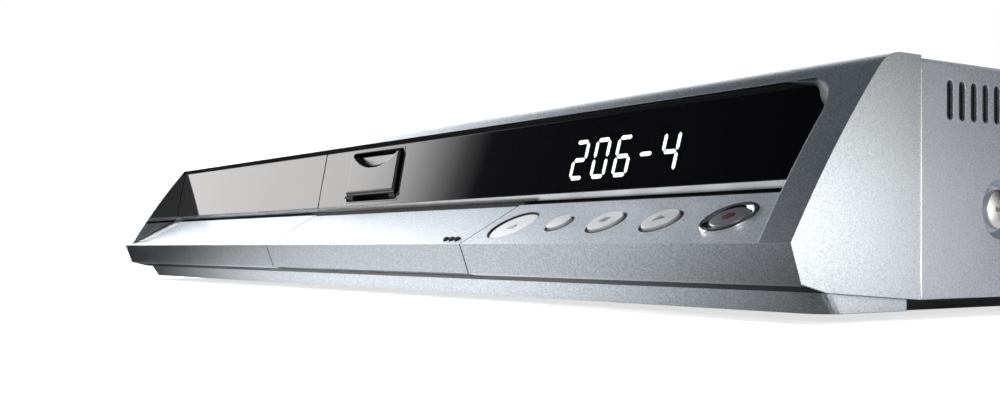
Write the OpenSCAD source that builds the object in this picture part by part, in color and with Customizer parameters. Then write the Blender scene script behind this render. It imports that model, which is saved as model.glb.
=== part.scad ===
// Disc recorder with a hard drive: a slim case behind a raked silver fascia.
// Frame: +X to the right, the front faces -Y, +Z up, origin on the table under the middle.

/* [Case] */
// Width across the two fascia cheeks
unit_w = 430; // [424:1:440]
// Height from the table to the crown of the fascia
unit_h = 59; // [58:0.5:63]
// Depth from the front lip to the ends of the rear sockets
unit_d = 328; // [325:1:345]
// Thickness of the folded sheet steel
sheet_t = 0.8; // [0.6:0.1:1]
// Height of the feet below the pan
foot_h = 1.2; // [1:0.1:1.8]
// Radius of a foot
foot_r = 11; // [8:0.5:14]
// How far the steel cover sits inside the outline of the fascia
cover_step = 0.4; // [0.2:0.1:0.6]
// Depth of the pressed dimples round the cover screws
dimple_d = 2.4; // [2.3:0.1:3]
// Radius of the pressed dimples
dimple_r = 7.2; // [6.4:0.1:8]
// Length of a vent slot
vent_l = 9.1; // [6:0.1:11]
// Width of a vent slot
vent_w = 2.4; // [1.4:0.1:2.8]
// Distance from one vent slot to the next
vent_pitch = 4.55; // [4:0.05:5.5]
// Number of vent slots in each side
vent_count = 22; // [8:1:26]

/* [Fascia] */
// Height of the front lip above the table
lip_z = 17; // [16.5:0.1:18]
// Depth of the moulded fascia
fascia_d = 42.7; // [42:0.1:46]
// Wall of the fascia
fascia_t = 2.2; // [1.8:0.1:2.6]
// Width of the end strips beside the window
cheek_w = 8.8; // [7.5:0.1:10]
// Depth over which the raked front climbs to the crown
rake_run = 31.3; // [30:0.1:33]
// Outward bulge of the raked front
rake_bulge = 1.2; // [0.8:0.1:1.6]
// Radius of the crown
crown_r = 10; // [7:0.5:11]
// Depth of the plain strip above the window
top_band = 4.2; // [3.6:0.1:5]
// Backward lean of the lower band
band_run = 3.2; // [2:0.1:4]
// Height of the lower band
band_drop = 8.5; // [8:0.1:9]
// Depth of the shaded chin under the band
chin_run = 11; // [10:0.1:13]
// Drop of the chin below the lip
chin_drop = 10.4; // [10:0.1:10.8]
// Drop of the fascia's foot below the lip at the cover seam
skirt_drop = 12.6; // [12:0.1:13]
// Depth of the control shelf
shelf_run = 21.7; // [21:0.1:22.5]
// Rise of the control shelf
shelf_rise = 11.7; // [11:0.1:12.2]
// Drop of the plinth below the lip
plinth_drop = 15.2; // [14.6:0.1:15.6]
// Inset of the plinth at each end
plinth_inset = 3.1; // [2:0.1:5]
// Corner radius of the plinth
plinth_r = 7; // [3:0.5:8]

/* [Window] */
// Backward lean of the window in degrees
glass_lean = 11.3; // [9:0.1:13]
// Thickness of the window
glass_t = 3; // [2.6:0.1:3.4]
// Gap between the back of the shelf and the window
glass_foot = 1.6; // [1.2:0.1:2]
// Dark gap above the window
glass_gap = 1.7; // [1.2:0.1:2.2]
// Bright chamfer along the foot of the window
glass_chamfer = 1.8; // [1:0.1:2]
// Thickness of the black frame behind the window
frame_t = 2; // [1.6:0.1:2.4]
// Width of the card flap
card_w = 35.4; // [32:0.1:38]
// Height of the card flap along the window
card_h = 15.6; // [14:0.1:16.5]
// Distance of the card flap from the tray seam
card_offset = 25; // [22:0.1:30]
// Gap round the card flap
card_gap = 1.5; // [1.3:0.1:1.8]
// How far the card flap stands out of the window
card_rise = 1.6; // [1.2:0.1:1.8]

/* [Tray and drive] */
// Width of the tray bezel
bezel_w = 159; // [156:0.5:162]
// Seam between neighbouring front pieces
seam = 0.7; // [0.6:0.05:1]
// Width of the disc tray
tray_w = 131; // [129:0.5:133]
// Travel of the disc tray
tray_travel = 134; // [130:1:138]
// Thickness of the disc tray
tray_t = 8; // [7:0.1:8.5]
// Radius of the recess that holds the disc
disc_r = 60.5; // [60.2:0.1:61]
// Depth of the disc recess
disc_d = 1.6; // [1.4:0.1:2]
// Module of the tray gears
gear_module = 1; // [0.9:0.05:1.05]
// Teeth on the tray gear
gear_teeth = 24; // [22:2:26]
// Teeth on the pinion of the pulley gear
pinion_teeth = 16; // [14:1:17]
// Backlash between meshing teeth
backlash = 0.3; // [0.25:0.05:0.4]
// Height of the tray's rack
rack_h = 4.5; // [4:0.1:5]
// Radius of the gear shafts
shaft_r = 1.5; // [1.2:0.1:1.8]
// Running clearance on each shaft
run_gap = 0.05; // [0.03:0.01:0.08]
// Travel of the pickup sled
sled_travel = 35; // [30:1:38]

/* [Flap and buttons] */
// Width of the control zone right of the input flap
control_w = 122.3; // [121:0.1:126]
// Distance of the input flap from the tray seam
flap_offset = 3.5; // [2:0.1:8]
// Radius of the flap's hinge pins
hinge_r = 1.1; // [0.9:0.1:1.3]
// Radius of the eject button
eject_r = 7.8; // [7:0.1:8.4]
// Radius of the drive select button
select_r = 4.1; // [3.4:0.1:4.8]
// Radius of the stop and play buttons
play_r = 5.5; // [4.6:0.1:6]
// Radius of the record button
record_r = 4.7; // [4:0.1:5.2]
// Outer radius of the chrome ring
ring_r = 7.3; // [6.8:0.1:8]
// Height of the raised buttons above the shelf
button_rise = 0.9; // [0.7:0.1:1.2]
// Travel of a button
button_travel = 0.8; // [0.6:0.1:1]
// Gap round a button
button_gap = 0.4; // [0.3:0.05:0.5]
// Width of the standby key at the left end of the shelf
standby_w = 13; // [10:0.5:16]

/* [Inside] */
// Width of the hard drive
hdd_w = 101.6; // [101:0.1:102]
// Length of the hard drive
hdd_l = 147; // [144:0.5:148]
// Height of the hard drive
hdd_h = 26.1; // [20:0.1:27]
// Thickness of the circuit boards
board_t = 1.6; // [1.2:0.1:2]
// Height of the boards above the pan
standoff_h = 6; // [5:0.5:7]
// Edge length of the cooling fan
fan_w = 45; // [42:1:46]
// Depth of the cooling fan
fan_d = 12; // [10:0.5:15]

/* [Rear] */
// Reach of the rear sockets behind the rear panel
jack_reach = 9; // [8:0.1:11]
// Radius of a phono socket's barrel
rca_r = 4.15; // [4.1:0.05:4.2]
// Radius of a satellite socket's threaded barrel
sat_r = 4.75; // [4.7:0.05:4.8]

/* [Hidden] */
$fn = 48;
silver = [0.74, 0.76, 0.78];
pale_key = [0.82, 0.83, 0.84];
steel = [0.66, 0.68, 0.70];
zinc = [0.60, 0.62, 0.64];
smoked = [0.05, 0.05, 0.06];
black = [0.08, 0.08, 0.09];
dark_grey = [0.18, 0.18, 0.19];
board_green = [0.10, 0.30, 0.18];
board_brown = [0.55, 0.45, 0.25];
nickel = [0.78, 0.78, 0.80];
yellow_plastic = [0.85, 0.72, 0.20];
white_nylon = [0.90, 0.90, 0.86];

// Small fits: overrun of a cut, overlap of joined shapes, and the clearances
past = 1;
eps = 0.01;
seat_gap = 0.2;
curve_gap = 0.35;
screw_gap = 0.1;
socket_gap = 0.3;
window_gap = 0.6;
tray_play = 0.5;
key_gap = 0.15;
belt_gap = 0.3;

// Main stations: s runs back from the lip, h runs up from the lip
front_y = -unit_d / 2;
rear_s = unit_d - jack_reach;
panel_s = rear_s - sheet_t;
top_rise = unit_h - lip_z;
half_w = unit_w / 2;
inner_x = half_w - cheek_w;
win_top = top_rise - top_band;
function dy(s) = front_y + s;
function hz(h) = lip_z + h;
function pt(s, h) = [dy(s), hz(h)];

// Intervals: about a middle, and made wider at both ends
function about(c, w) = [c - w / 2, c + w / 2];
function wider(i, g) = [i[0] - g, i[1] + g];

// Circular arc as a list of points
function polar(r, a) = [r * cos(a), r * sin(a)];
function arc(c, r, a0, a1, n) = [for (i = [0:n]) c + polar(r, a0 + (a1 - a0) * i / n)];

// The rake is a long arc from the lip to the crown, and the crown is tangent to it and to the top
rake_top = [rake_run, top_rise];
rake_chord = norm(rake_top);
rake_r = rake_chord * rake_chord / (8 * rake_bulge) + rake_bulge / 2;
rake_normal = [rake_top[1], -rake_top[0]] / rake_chord;
rake_c = rake_top / 2 + rake_normal * (rake_r - rake_bulge);
crown_h = top_rise - crown_r;
crown_s = rake_c[0] - sqrt(pow(rake_r - crown_r, 2) - pow(crown_h - rake_c[1], 2));
lip_angle = atan2(-rake_c[1], -rake_c[0]);
crown_angle = atan2(crown_h - rake_c[1], crown_s - rake_c[0]);
rake_steps = 14;
crown_steps = 8;

// Side outline of the fascia, moved inwards by o, with its back at depth s_back
function fascia_outline(o, s_back) = [for (p = concat(
    arc(rake_c, rake_r - o, lip_angle, crown_angle, rake_steps),
    arc([crown_s, crown_h], crown_r - o, crown_angle, 90, crown_steps),
    [[s_back, top_rise - o], [s_back, -skirt_drop + o], [chin_run, -chin_drop + o],
     [band_run + o, -band_drop + o]])) pt(p[0], p[1])];

// The shelf and the band meet at the lip, and the foot of the fascia runs back from the chin
shelf_a = atan2(shelf_rise, shelf_run);
shelf_l = norm([shelf_run, shelf_rise]);
shelf_in = [sin(shelf_a), -cos(shelf_a)];
band_in = [band_drop, band_run] / norm([band_run, band_drop]);
function lip_inner(t) = t * (shelf_in + band_in) / (1 + shelf_in * band_in);
function under_h(s) = -chin_drop - (s - chin_run) * (skirt_drop - chin_drop) / (fascia_d - chin_run);
function chin_h(s) = -band_drop - (s - band_run) * (chin_drop - band_drop) / (chin_run - band_run);

// The plinth leans back on its way down, and ends at the cover seam
plinth_lap = 0.2;
plinth_start = chin_run - plinth_lap;
plinth_lean = 0.76;
plinth_back_r = 1;

// The window plane, with v up the window from the level of the lip
glass_lip = 1.2;
frame_tuck = 3;
glass_s0 = shelf_run + glass_foot - shelf_rise * tan(glass_lean);
glass_v = [shelf_rise + glass_lip, win_top - glass_gap] / cos(glass_lean);
frame_v = [shelf_rise - frame_tuck, win_top + glass_t * sin(glass_lean)] / cos(glass_lean);
behind_frame = glass_t + frame_t;

// Stations across the front
bezel_x = [-inner_x + window_gap, -inner_x + window_gap + bezel_w];
bezel_t = glass_t - 0.3;
seam_x = bezel_x[1];
flap_x = [seam_x + flap_offset, half_w - control_w];

// Card flap: its pins lie just under its foot, behind the face of the window
card_x = about(seam_x + card_offset + card_w / 2, card_w);
card_mid = seam_x + card_offset + card_w / 2;
card_v = [glass_v[0] + 5.3, glass_v[0] + 5.3 + card_h];
card_t = 2.2;
card_bevel = 1;
card_pin_r = 0.9;
card_pin_in = 1.3;
card_pin = [card_v[0] - 0.1, -0.9];
card_hub = [4, 1.3];
card_foot_gap = 2;
scoop_r = 27.6;
scoop_h = 5;
scoop_d = 1.2;
card_socket_l = 28;
card_socket_rim = 4;

// Display behind the right end of the window
display_rim = 2.6;
display_in = [118.6, 30.4];
display_x = [half_w - display_in[0], half_w - display_in[1]];
display_v = wider(glass_v, -display_rim);
tube_t = 6;
tube_rim = [3, 1.5];
display_board_rim = [7, 2];

// Input flap and the sockets behind it
hinge_in = [1.7, 1.6];
hinge = [band_run + hinge_in[0], -band_drop + hinge_in[1]];
hinge_hub = [7, 1.6];
hinge_bite = 1;
sill_in = 3.7;
sill_s = hinge[0] + sill_in;
panel_t = 2;
panel_top = 0.8;
jack_h = -2.2;
jack_pitch = 14;
jack_mid = (flap_x[0] + flap_x[1]) / 2 + jack_pitch / 2;
front_rca_x = [for (i = [-1:1]) jack_mid + i * jack_pitch];
svideo_pitch = 20;
svideo_x = front_rca_x[0] - svideo_pitch;
svideo_r = 5.6;
svideo_wall = 1;
svideo_body = [13, 12];
dv_pitch = 22;
dv_x = front_rca_x[2] + dv_pitch;
dv_size = [10, 6];
dv_wall = 1;
dv_depth = 5;
jack_front = 6;
jack_back = 12;
rca_body = 10;
rca_pin_r = 1.65;

// Buttons: centres from the right side, and up the shelf from the lip
button_v = 11.6;
eject_in = 110;
select_in = 88.6;
stop_in = 69.4;
play_in = 49;
record_in = 26.4;
eject_x = half_w - eject_in;
select_x = half_w - select_in;
stop_x = half_w - stop_in;
play_x = half_w - play_in;
record_x = half_w - record_in;
eject_sink = 0.4;
flange_t = 1;
flange_w = 1;
stem_r = 1.5;
standby_x = [-inner_x + 0.8, -inner_x + 0.8 + standby_w];
standby_mid = (standby_x[0] + standby_x[1]) / 2;
standby_v = [4, shelf_l - 1.4];
ring_sleeve = 0.7;
ring_h = 0.9;
ring_bowl = 1.2;

// Switches and their boards hang from bosses under the shelf
switch_drop = 7;
switch_h = 3.2;
switch_w = 6;
switch_body = 2.4;
under_shelf = fascia_t + switch_drop;
stem_end = under_shelf - switch_h - button_travel - seat_gap;
key_board_v = [5.8, shelf_l - 3];
key_board_x = [eject_x - 9, inner_x - fascia_t];
standby_board_x = [standby_x[0] + 2, standby_x[1] + 12];
boss_r = 2.2;
boss_v = key_board_v[0] + 2.6;
boss_x = [standby_x[1] + 6.2, (eject_x + eject_r + select_x - select_r) / 2,
    (play_x + play_r + record_x - ring_r) / 2];

// The steel case
pan_z = foot_h;
floor_z = pan_z + sheet_t;
cover_x = half_w - cover_step;
side_in = cover_x - sheet_t;
cover_z = unit_h - cover_step;
cover_foot = hz(-skirt_drop);
pan_x = side_in - dimple_d;
floor_x = pan_x - 8.4;
bend_z = pan_z + 3.6;
flange_z = hz(17);
pan_front_z = hz(-skirt_drop + fascia_t) + 1;
vent_in = 11.1;
vent_rise = 32.75;
vent_s = fascia_d + vent_in;
vent_z = hz(vent_rise);
screw_s = [fascia_d + 30.7, rear_s - 34];
screw_z = hz(8.2);
screw_r = 1.9;
screw_l = 6;
head_r = 4.7;
head_h = 2.1;
dimple_taper = 1.6;
lip_drop = 11;
rear_screw_x = [-half_w + 60, 0, half_w - 60];
rear_screw_z = cover_z - lip_drop / 2;
rear_head_r = 4;
foot_xy = [for (x = [-half_w + 50, half_w - 50], s = [fascia_d + 32, rear_s - 50]) [x, dy(s)]];
foot_stem_r = 3;
foot_stem_h = 1.2;

// Disc drive
tray_cx = (bezel_x[0] + bezel_x[1]) / 2;
tray_z = hz(19.5);
tray_top = tray_z + tray_t;
tray_s0 = glass_s0 + 3;
drive_s0 = fascia_d + 2;
gear_s = drive_s0 + 13.5;
rack_s = [gear_s - 7, gear_s + tray_travel + 9];
rack_w = 6;
tray_s1 = rack_s[1] + 4;
tray_arm = 20;
tray_slot = 20;
disc_s = tray_s0 + 14 + disc_r;
small_disc_r = 40.5;
small_disc_d = 1.2;
finger_r = 9;
finger_d = 2.4;
mouth_gap = 0.8;
wall_t = 3;
wall_x = tray_w / 2 + tray_play;
wall_top = tray_top + 3.5;
deck_z = tray_z - rack_h - 8;
deck_t = 2;
drive_z0 = deck_z - 13;
drive_post_r = 4;
drive_post_in = 8;
rail_w = 4.5;
rail_t = 2.5;
guide_w = 3;
guide_l = 34;

// Tray gears: the rack's pitch line touches the gear, and the gear meets the pinion
pressure = 20;
addendum = 0.95 * gear_module;
dedendum = 1.25 * gear_module;
flank_steps = 5;
gear_r = gear_module * gear_teeth / 2;
pinion_r = gear_module * pinion_teeth / 2;
rack_x = tray_cx + 48;
gear_x = rack_x - gear_r;
gear_z = [tray_z - rack_h + 0.1, tray_z - 0.5];
gear_post_r = 3;
pulley_x = gear_x - gear_r - pinion_r;
pulley_r = 10;
pulley_z0 = deck_z + 0.3;
pulley_h = 5;
pulley_rim = [1, 1.3];
belt_t = 1;
belt_in = 1.6;
motor_x = pulley_x - 36;
motor_pulley_r = 3.2;
motor_r = 9;
motor_l = 12;
motor_shaft_r = 1;
motor_shaft_l = 5.5;
motor_bore = 6;

// Spindle, sled and clamp, about the middle of the disc
spindle_r = 12;
spindle_h = 6;
spindle_bore = 5;
turntable_r = 15;
turntable_t = 2.2;
hub_cone = [7.4, 6.4];
rod_off = 20;
rod_z = deck_z + 4.6;
bracket_size = [7, 4, 1.5];
rod_s0 = disc_s + 11;
sled_s0 = disc_s + turntable_r + 1.5;
sled_l = 28;
sled_z = [rod_z - 3.2, rod_z + 3.4];
sled_rim = 4;
sled_nut = [8, 16];
lens_r = 4.5;
lens_s = 7;
lens_h = 5.4;
rod_s1 = sled_s0 + sled_l + sled_travel + 2;
rod_end = rod_s1 + bracket_size[1];
drive_s1 = max(tray_s1 + 6, rod_end + 4);
lead_x = tray_cx + 31;
lead_z = deck_z + 5.6;
sled_motor_r = 5.5;
sled_motor_s = [disc_s - 14, disc_s + 2];
lead_s0 = disc_s - 3.8;
puck_r = 14;
puck_lift = 0.8;
puck_rim = [4, 1.4];
bridge_t = 1.2;
bridge_w = 36;
bridge_hole = puck_r + 0.8;

// Layout across the back: sockets from the left wall to the fan, hard drive from the right wall
edge_in = 8;
tuner_in = 12;
tuner_w = 44;
tuner_x0 = -half_w + edge_in + tuner_in;
tuner_x = [tuner_x0, tuner_x0 + tuner_w];
sat_in = 11;
sat_x = [tuner_x[0] + sat_in, tuner_x[1] - sat_in];
scart_w = 47;
scart_gaps = [3.5, 7];
scart_x0 = tuner_x[1] + scart_gaps[0] + scart_w / 2;
scart_x = [scart_x0, scart_x0 + scart_w + scart_gaps[1]];
rca_in = 10.5;
rca_pitch = 14;
rca_x = [for (i = [0:2]) scart_x[1] + scart_w / 2 + rca_in + i * rca_pitch];
hdmi_in = 16;
hdmi_x = rca_x[2] + hdmi_in;
av_past = 18;
fan_side_gap = 12;
fan_x = hdmi_x + av_past + fan_side_gap + fan_w / 2;
hdd_in = 27.4;
hdd_x = [half_w - hdd_in - hdd_w, half_w - hdd_in];
inner_front = 20;
hdd_s = [fascia_d + inner_front, fascia_d + inner_front + hdd_l];

// Boards: [left, right, front s, back s]
av_gap = [12, 1];
av_board_rect = [-half_w + edge_in, hdmi_x + av_past, drive_s1 + av_gap[0], panel_s - av_gap[1]];
main_gap = [5, 6, 8];
main_board_rect = [seam_x + main_gap[0], hdd_x[0] - main_gap[1], fascia_d + inner_front,
    drive_s1 + main_gap[2]];
power_gap = [16, 5.3, 6];
power_board_rect = [fan_x + fan_w / 2 + power_gap[0], half_w - edge_in, hdd_s[1] + power_gap[1],
    panel_s - power_gap[2]];
board_z = floor_z + standoff_h;
board_top = board_z + board_t;
hole_inset = 6;
standoff_r = 3.2;
board_screw_r = 1.4;
board_screw_l = 3.5;
small_head = [2.8, 1.6];
function board_corners(r) = [for (x = [r[0] + hole_inset, r[1] - hole_inset],
    s = [r[2] + hole_inset, r[3] - hole_inset]) [x, dy(s)]];
standoffs = [for (r = [main_board_rect, av_board_rect, power_board_rect]) each board_corners(r)];
main_mid = [(main_board_rect[0] + main_board_rect[1]) / 2, dy((main_board_rect[2] + main_board_rect[3]) / 2)];
sink_w = 34;
sink_base = 3;
fin_h = 12;
fin_t = 2;
fin_count = 7;
sink_back = 20;
big_chip = [18, 18, 1.6];
big_chip_at = [30, 30];
small_chip = [18, 10, 1.2];
small_chip_at = [12, 52];

// Power parts, from the front left corner of their board
coil = [30, 34, 30];
coil_at = [14, 18, 0];
cap_r = 9;
cap_h = 26;
cap_in = 13;
cap_y = [22, 44];
cooler = [42, 3, 28];
cooler_at = [14, 60, 0];
fuse = [22, 6, 6];
fuse_at = [16, 6, 0];

// Hard drive on rubber bushes over its bracket
bracket_z = floor_z + 10;
bracket_t = 1.2;
bracket_rim = [4, -6];
bracket_foot = [12, 12];
bush_h = 2;
bush_r = 5;
bush_in = [14, 20];
hdd_z = bracket_z + bracket_t + bush_h;
hdd_lid = [8, 26, 10, 1];

// Fan
fan_z = floor_z + 1 + fan_w / 2;
fan_hole_r = fan_w / 2 - 1.6;
fan_screw = fan_w / 2 - 4.5;
fan_screw_r = 1.5;
fan_screw_l = 7;
fan_y = [dy(panel_s - fan_d), dy(panel_s)];
hub_r = 11;
hub_d = 3;
hub_gap = 0.5;
spoke = [2.4, 2];
blade_gap = 1;
blade_t = 1;
blade_lean = 35;
blade_count = 7;
grille_pitch = 6;
grille_w = 3.4;
grille_side = 3;

// Rear sockets stand on the rear board
scart_z = [board_top, board_top + 14];
scart_y = [dy(rear_s) - 16, dy(rear_s) + 5];
scart_wall = 1.6;
scart_floor = 8;
rca_z = [board_top + 8, board_top + 22];
rca_end = jack_reach - 0.5;
rca_collar = [1.1, 1.2];
rca_block = [12, 10, 6];
sat_z = board_top + 12;
sat_nut = [1.4, 1.6];
sat_bore = [1.2, 6];
tuner_l = 70;
tuner_h = 24;
hdmi_w = 16;
hdmi_z = [board_top, board_top + 7];
hdmi_y = [dy(rear_s) - 11, dy(rear_s) + 1];
hdmi_wall = 1;
hdmi_depth = 9;
tongue = [11, 7, 1];
optical_w = 10;
optical_rise = [14, 24];
optical_z = [board_top + optical_rise[0], board_top + optical_rise[1]];
optical_reach = [12, 1];
optical_y = [dy(rear_s) - optical_reach[0], dy(rear_s) + optical_reach[1]];
optical_port = [6, 1];
optical_leg = 6;
mains_in = 47;
mains_x = half_w - mains_in;
mains_w = 24;
mains_h = 16;
mains_z = board_top + mains_h / 2;
mains_reach = [15, 1.5];
mains_y = [dy(rear_s) - mains_reach[0], dy(rear_s) + mains_reach[1]];
mains_lobe = [4, 4.6];
mains_depth = 11;
mains_pin = [5.2, 1.2, 10];

// Extrudes an outline in Y and Z along X
module along_x(x) {
    translate([x[0], 0, 0]) rotate([90, 0, 90]) linear_extrude(x[1] - x[0]) children();
}

// Extrudes an outline in X and Z along Y
module along_y(y) {
    translate([0, y[1], 0]) rotate([90, 0, 0]) linear_extrude(y[1] - y[0]) children();
}

// Box over three intervals, and the same with its depth counted back from the lip
module span(x, y, z) {
    translate([x[0], y[0], z[0]]) cube([x[1] - x[0], y[1] - y[0], z[1] - z[0]]);
}

module slab(x, s, z) {
    span(x, [dy(s[0]), dy(s[1])], z);
}

// Cylinder along X or Y from a start point
module rod_x(p, l, r) {
    translate(p) rotate([0, 90, 0]) cylinder(h = l, r = r);
}

module rod_y(p, l, r) {
    translate(p) rotate([-90, 0, 0]) cylinder(h = l, r = r);
}

// Frame on the shelf: local Y climbs the shelf, local Z leaves it
module on_shelf(x, v) {
    translate([x, dy(v * cos(shelf_a)), hz(v * sin(shelf_a))]) rotate([shelf_a, 0, 0]) children();
}

// Frame on the window: local Y climbs the window, local Z leaves it towards the front
module on_glass() {
    translate([0, dy(glass_s0), hz(0)]) rotate([90 - glass_lean, 0, 0]) children();
}

// Both sides of the case
module both_sides() {
    for (m = [0, 1]) mirror([m, 0, 0]) children();
}

// Case

module bottom_pan() {
    t = sheet_t;
    outer = [[-pan_x, flange_z], [-pan_x, bend_z], [-floor_x, pan_z], [floor_x, pan_z], [pan_x, bend_z],
        [pan_x, flange_z]];
    inner = [[pan_x - t, flange_z], [pan_x - t, bend_z + t / 2], [floor_x - t / 2, floor_z],
        [-floor_x + t / 2, floor_z], [-pan_x + t, bend_z + t / 2], [-pan_x + t, flange_z]];
    color(zinc) difference() {
        union() {
            along_y([dy(fascia_d), dy(panel_s)]) polygon(concat(outer, inner));
            slab([-floor_x, floor_x], [fascia_d, fascia_d + t], [pan_z, pan_front_z]);
            for (p = standoffs) translate([p[0], p[1], pan_z]) cylinder(h = board_z - pan_z, r = standoff_r);
            for (m = [-1, 1], s = [drive_s0 + drive_post_in, drive_s1 - drive_post_in])
                translate([tray_cx + m * (wall_x + wall_t / 2), dy(s), pan_z])
                    cylinder(h = drive_z0 - pan_z, r = drive_post_r);
        }
        for (p = standoffs) translate([p[0], p[1], floor_z])
            cylinder(h = standoff_h + past, r = board_screw_r + screw_gap / 2);
        for (p = foot_xy) translate([p[0], p[1], pan_z - past])
            cylinder(h = 2 * past + t, r = foot_stem_r + screw_gap);
        both_sides() for (s = screw_s)
            rod_x([pan_x - t - past, dy(s), screw_z], t + 2 * past, screw_r + screw_gap);
    }
}

// Dimple pressed into the right side of the cover, grown by the thickness of a wall
module dimple(deep, wall) {
    rotate([0, -90, 0]) cylinder(h = deep, r1 = dimple_r + wall, r2 = dimple_r - dimple_taper + wall);
}

module vent_slot(s) {
    z = about(vent_z, vent_l - vent_w);
    span([-half_w, half_w], about(dy(s), vent_w), z);
    for (end = z) rod_x([-half_w, dy(s), end], unit_w, vent_w / 2);
}

module top_cover() {
    t = sheet_t;
    outer = [[-cover_x, cover_foot], [-cover_x, cover_z - t], [-cover_x + t, cover_z], [cover_x - t, cover_z],
        [cover_x, cover_z - t], [cover_x, cover_foot]];
    inner = [[side_in, cover_foot], [side_in, cover_z - t], [-side_in, cover_z - t], [-side_in, cover_foot]];
    lip_x = wider([-side_in, side_in], -t);
    color(steel) difference() {
        union() {
            along_y([dy(fascia_d), dy(rear_s)]) polygon(concat(outer, inner));
            slab(lip_x, [panel_s, rear_s + t], [cover_z - t, cover_z]);
            slab(lip_x, [rear_s, rear_s + t], [cover_z - lip_drop, cover_z]);
            both_sides() for (s = screw_s) translate([cover_x, dy(s), screw_z]) dimple(dimple_d + t, t);
        }
        both_sides() for (s = screw_s) {
            translate([cover_x, dy(s), screw_z]) dimple(dimple_d, 0);
            rod_x([pan_x - past, dy(s), screw_z], t + 2 * past, screw_r + screw_gap);
        }
        for (i = [0:vent_count - 1]) vent_slot(vent_s + i * vent_pitch);
        for (x = rear_screw_x)
            rod_y([x, dy(rear_s) - past, rear_screw_z], t + 2 * past, screw_r + screw_gap);
    }
}

module fan_corners() {
    for (x = [-1, 1], z = [-1, 1])
        translate([fan_x + x * fan_screw, 0, fan_z + z * fan_screw]) children();
}

module rear_panel() {
    y = wider([dy(panel_s), dy(rear_s)], past);
    deep = y[1] - y[0];
    g = socket_gap;
    color(zinc) difference() {
        slab(wider([-side_in, side_in], -seat_gap), [panel_s, rear_s], [pan_z, cover_z - sheet_t - seat_gap]);
        for (x = scart_x) span(about(x, scart_w + 2 * g), y, wider(scart_z, g));
        for (x = rca_x, z = rca_z) rod_y([x, y[0], z], deep, rca_r + g);
        for (x = sat_x) rod_y([x, y[0], sat_z], deep, sat_r + g);
        span(about(hdmi_x, hdmi_w + 2 * g), y, wider(hdmi_z, g));
        span(about(hdmi_x, optical_w + 2 * g), y, wider(optical_z, g));
        span(about(mains_x, mains_w + 2 * g), y, wider(about(mains_z, mains_h), g));
        for (x = rear_screw_x) rod_y([x, y[0], rear_screw_z], deep, screw_r + screw_gap);
        intersection() {
            rod_y([fan_x, y[0], fan_z], deep, fan_hole_r - blade_gap);
            union() for (i = [-grille_side:grille_side])
                span(about(fan_x + i * grille_pitch, grille_w), y, about(fan_z, fan_w));
        }
        fan_corners() rod_y([0, y[0], 0], deep, fan_screw_r + screw_gap);
    }
}

module feet() {
    color(black) for (p = foot_xy) translate([p[0], p[1], 0]) {
        cylinder(h = foot_h, r = foot_r);
        cylinder(h = floor_z + foot_stem_h, r = foot_stem_r);
    }
}

module cover_screws() {
    color(nickel) {
        both_sides() for (s = screw_s) {
            rod_x([pan_x + sheet_t, dy(s), screw_z], head_h, head_r);
            rod_x([pan_x - screw_l, dy(s), screw_z], screw_l + sheet_t + eps, screw_r);
        }
        for (x = rear_screw_x) translate([x, dy(rear_s + sheet_t), rear_screw_z]) {
            rod_y([0, 0, 0], head_h, rear_head_r);
            rod_y([0, -screw_l, 0], screw_l + eps, screw_r);
        }
    }
}

module inner_screws() {
    color(nickel) {
        for (p = standoffs) translate([p[0], p[1], board_top]) {
            cylinder(h = small_head[1], r = small_head[0]);
            translate([0, 0, -board_t - board_screw_l])
                cylinder(h = board_t + board_screw_l + eps, r = board_screw_r);
        }
        fan_corners() translate([0, dy(rear_s), 0]) {
            rod_y([0, 0, 0], small_head[1], small_head[0]);
            rod_y([0, -fan_screw_l, 0], fan_screw_l + eps, fan_screw_r);
        }
    }
}

// Fascia

module cheek() {
    difference() {
        along_x([inner_x, half_w]) polygon(fascia_outline(0, fascia_d));
        along_x([inner_x + fascia_t, half_w - fascia_t]) polygon(fascia_outline(fascia_t, fascia_d + past));
    }
}

// Everything of the fascia's side outline above a height
module above(h) {
    slab([-half_w, half_w], [-past, fascia_d + past], [hz(h), unit_h + past]);
}

// Hollow channel above the window
module top_channel() {
    intersection() {
        difference() {
            along_x(wider([-inner_x, inner_x], eps)) polygon(fascia_outline(0, fascia_d));
            intersection() {
                along_x(wider([-inner_x, inner_x], past)) polygon(fascia_outline(fascia_t, fascia_d + past));
                above(win_top + fascia_t);
            }
        }
        above(win_top);
    }
}

// Shelf, lip, band, chin and foot in one folded wall
module lower_channel(x) {
    t = fascia_t;
    nose = lip_inner(t);
    along_x(x) polygon([pt(0, 0), pt(band_run, -band_drop), pt(chin_run, -chin_drop),
        pt(fascia_d, -skirt_drop), pt(fascia_d, -skirt_drop + t), pt(chin_run, -chin_drop + t),
        pt(band_run + t, -band_drop + t), pt(nose[0], nose[1]),
        pt(shelf_run, shelf_rise - t / cos(shelf_a)), pt(shelf_run, shelf_rise)]);
}

// Foot of the fascia behind the input flap
module flap_sill() {
    t = fascia_t;
    along_x(wider(flap_x, eps)) polygon([pt(sill_s, chin_h(sill_s)), pt(chin_run, -chin_drop),
        pt(fascia_d, -skirt_drop), pt(fascia_d, -skirt_drop + t), pt(chin_run, -chin_drop + t),
        pt(sill_s, chin_h(sill_s) + t)]);
}

// End wall of the flap's bay
module flap_rib(x) {
    along_x([x, x + fascia_t]) polygon([pt(0, 0), pt(band_run, -band_drop), pt(chin_run, -chin_drop),
        pt(shelf_run, under_h(shelf_run)), pt(shelf_run, shelf_rise)]);
}

// Boss under the shelf that carries a board
module board_boss(x) {
    on_shelf(x, boss_v) translate([0, 0, -under_shelf + eps])
        cylinder(h = switch_drop + fascia_t / 2, r = boss_r);
}

module button_hole(x, r) {
    on_shelf(x, button_v) translate([0, 0, -fascia_t - past]) cylinder(h = fascia_t + 2 * past, r = r);
}

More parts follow.
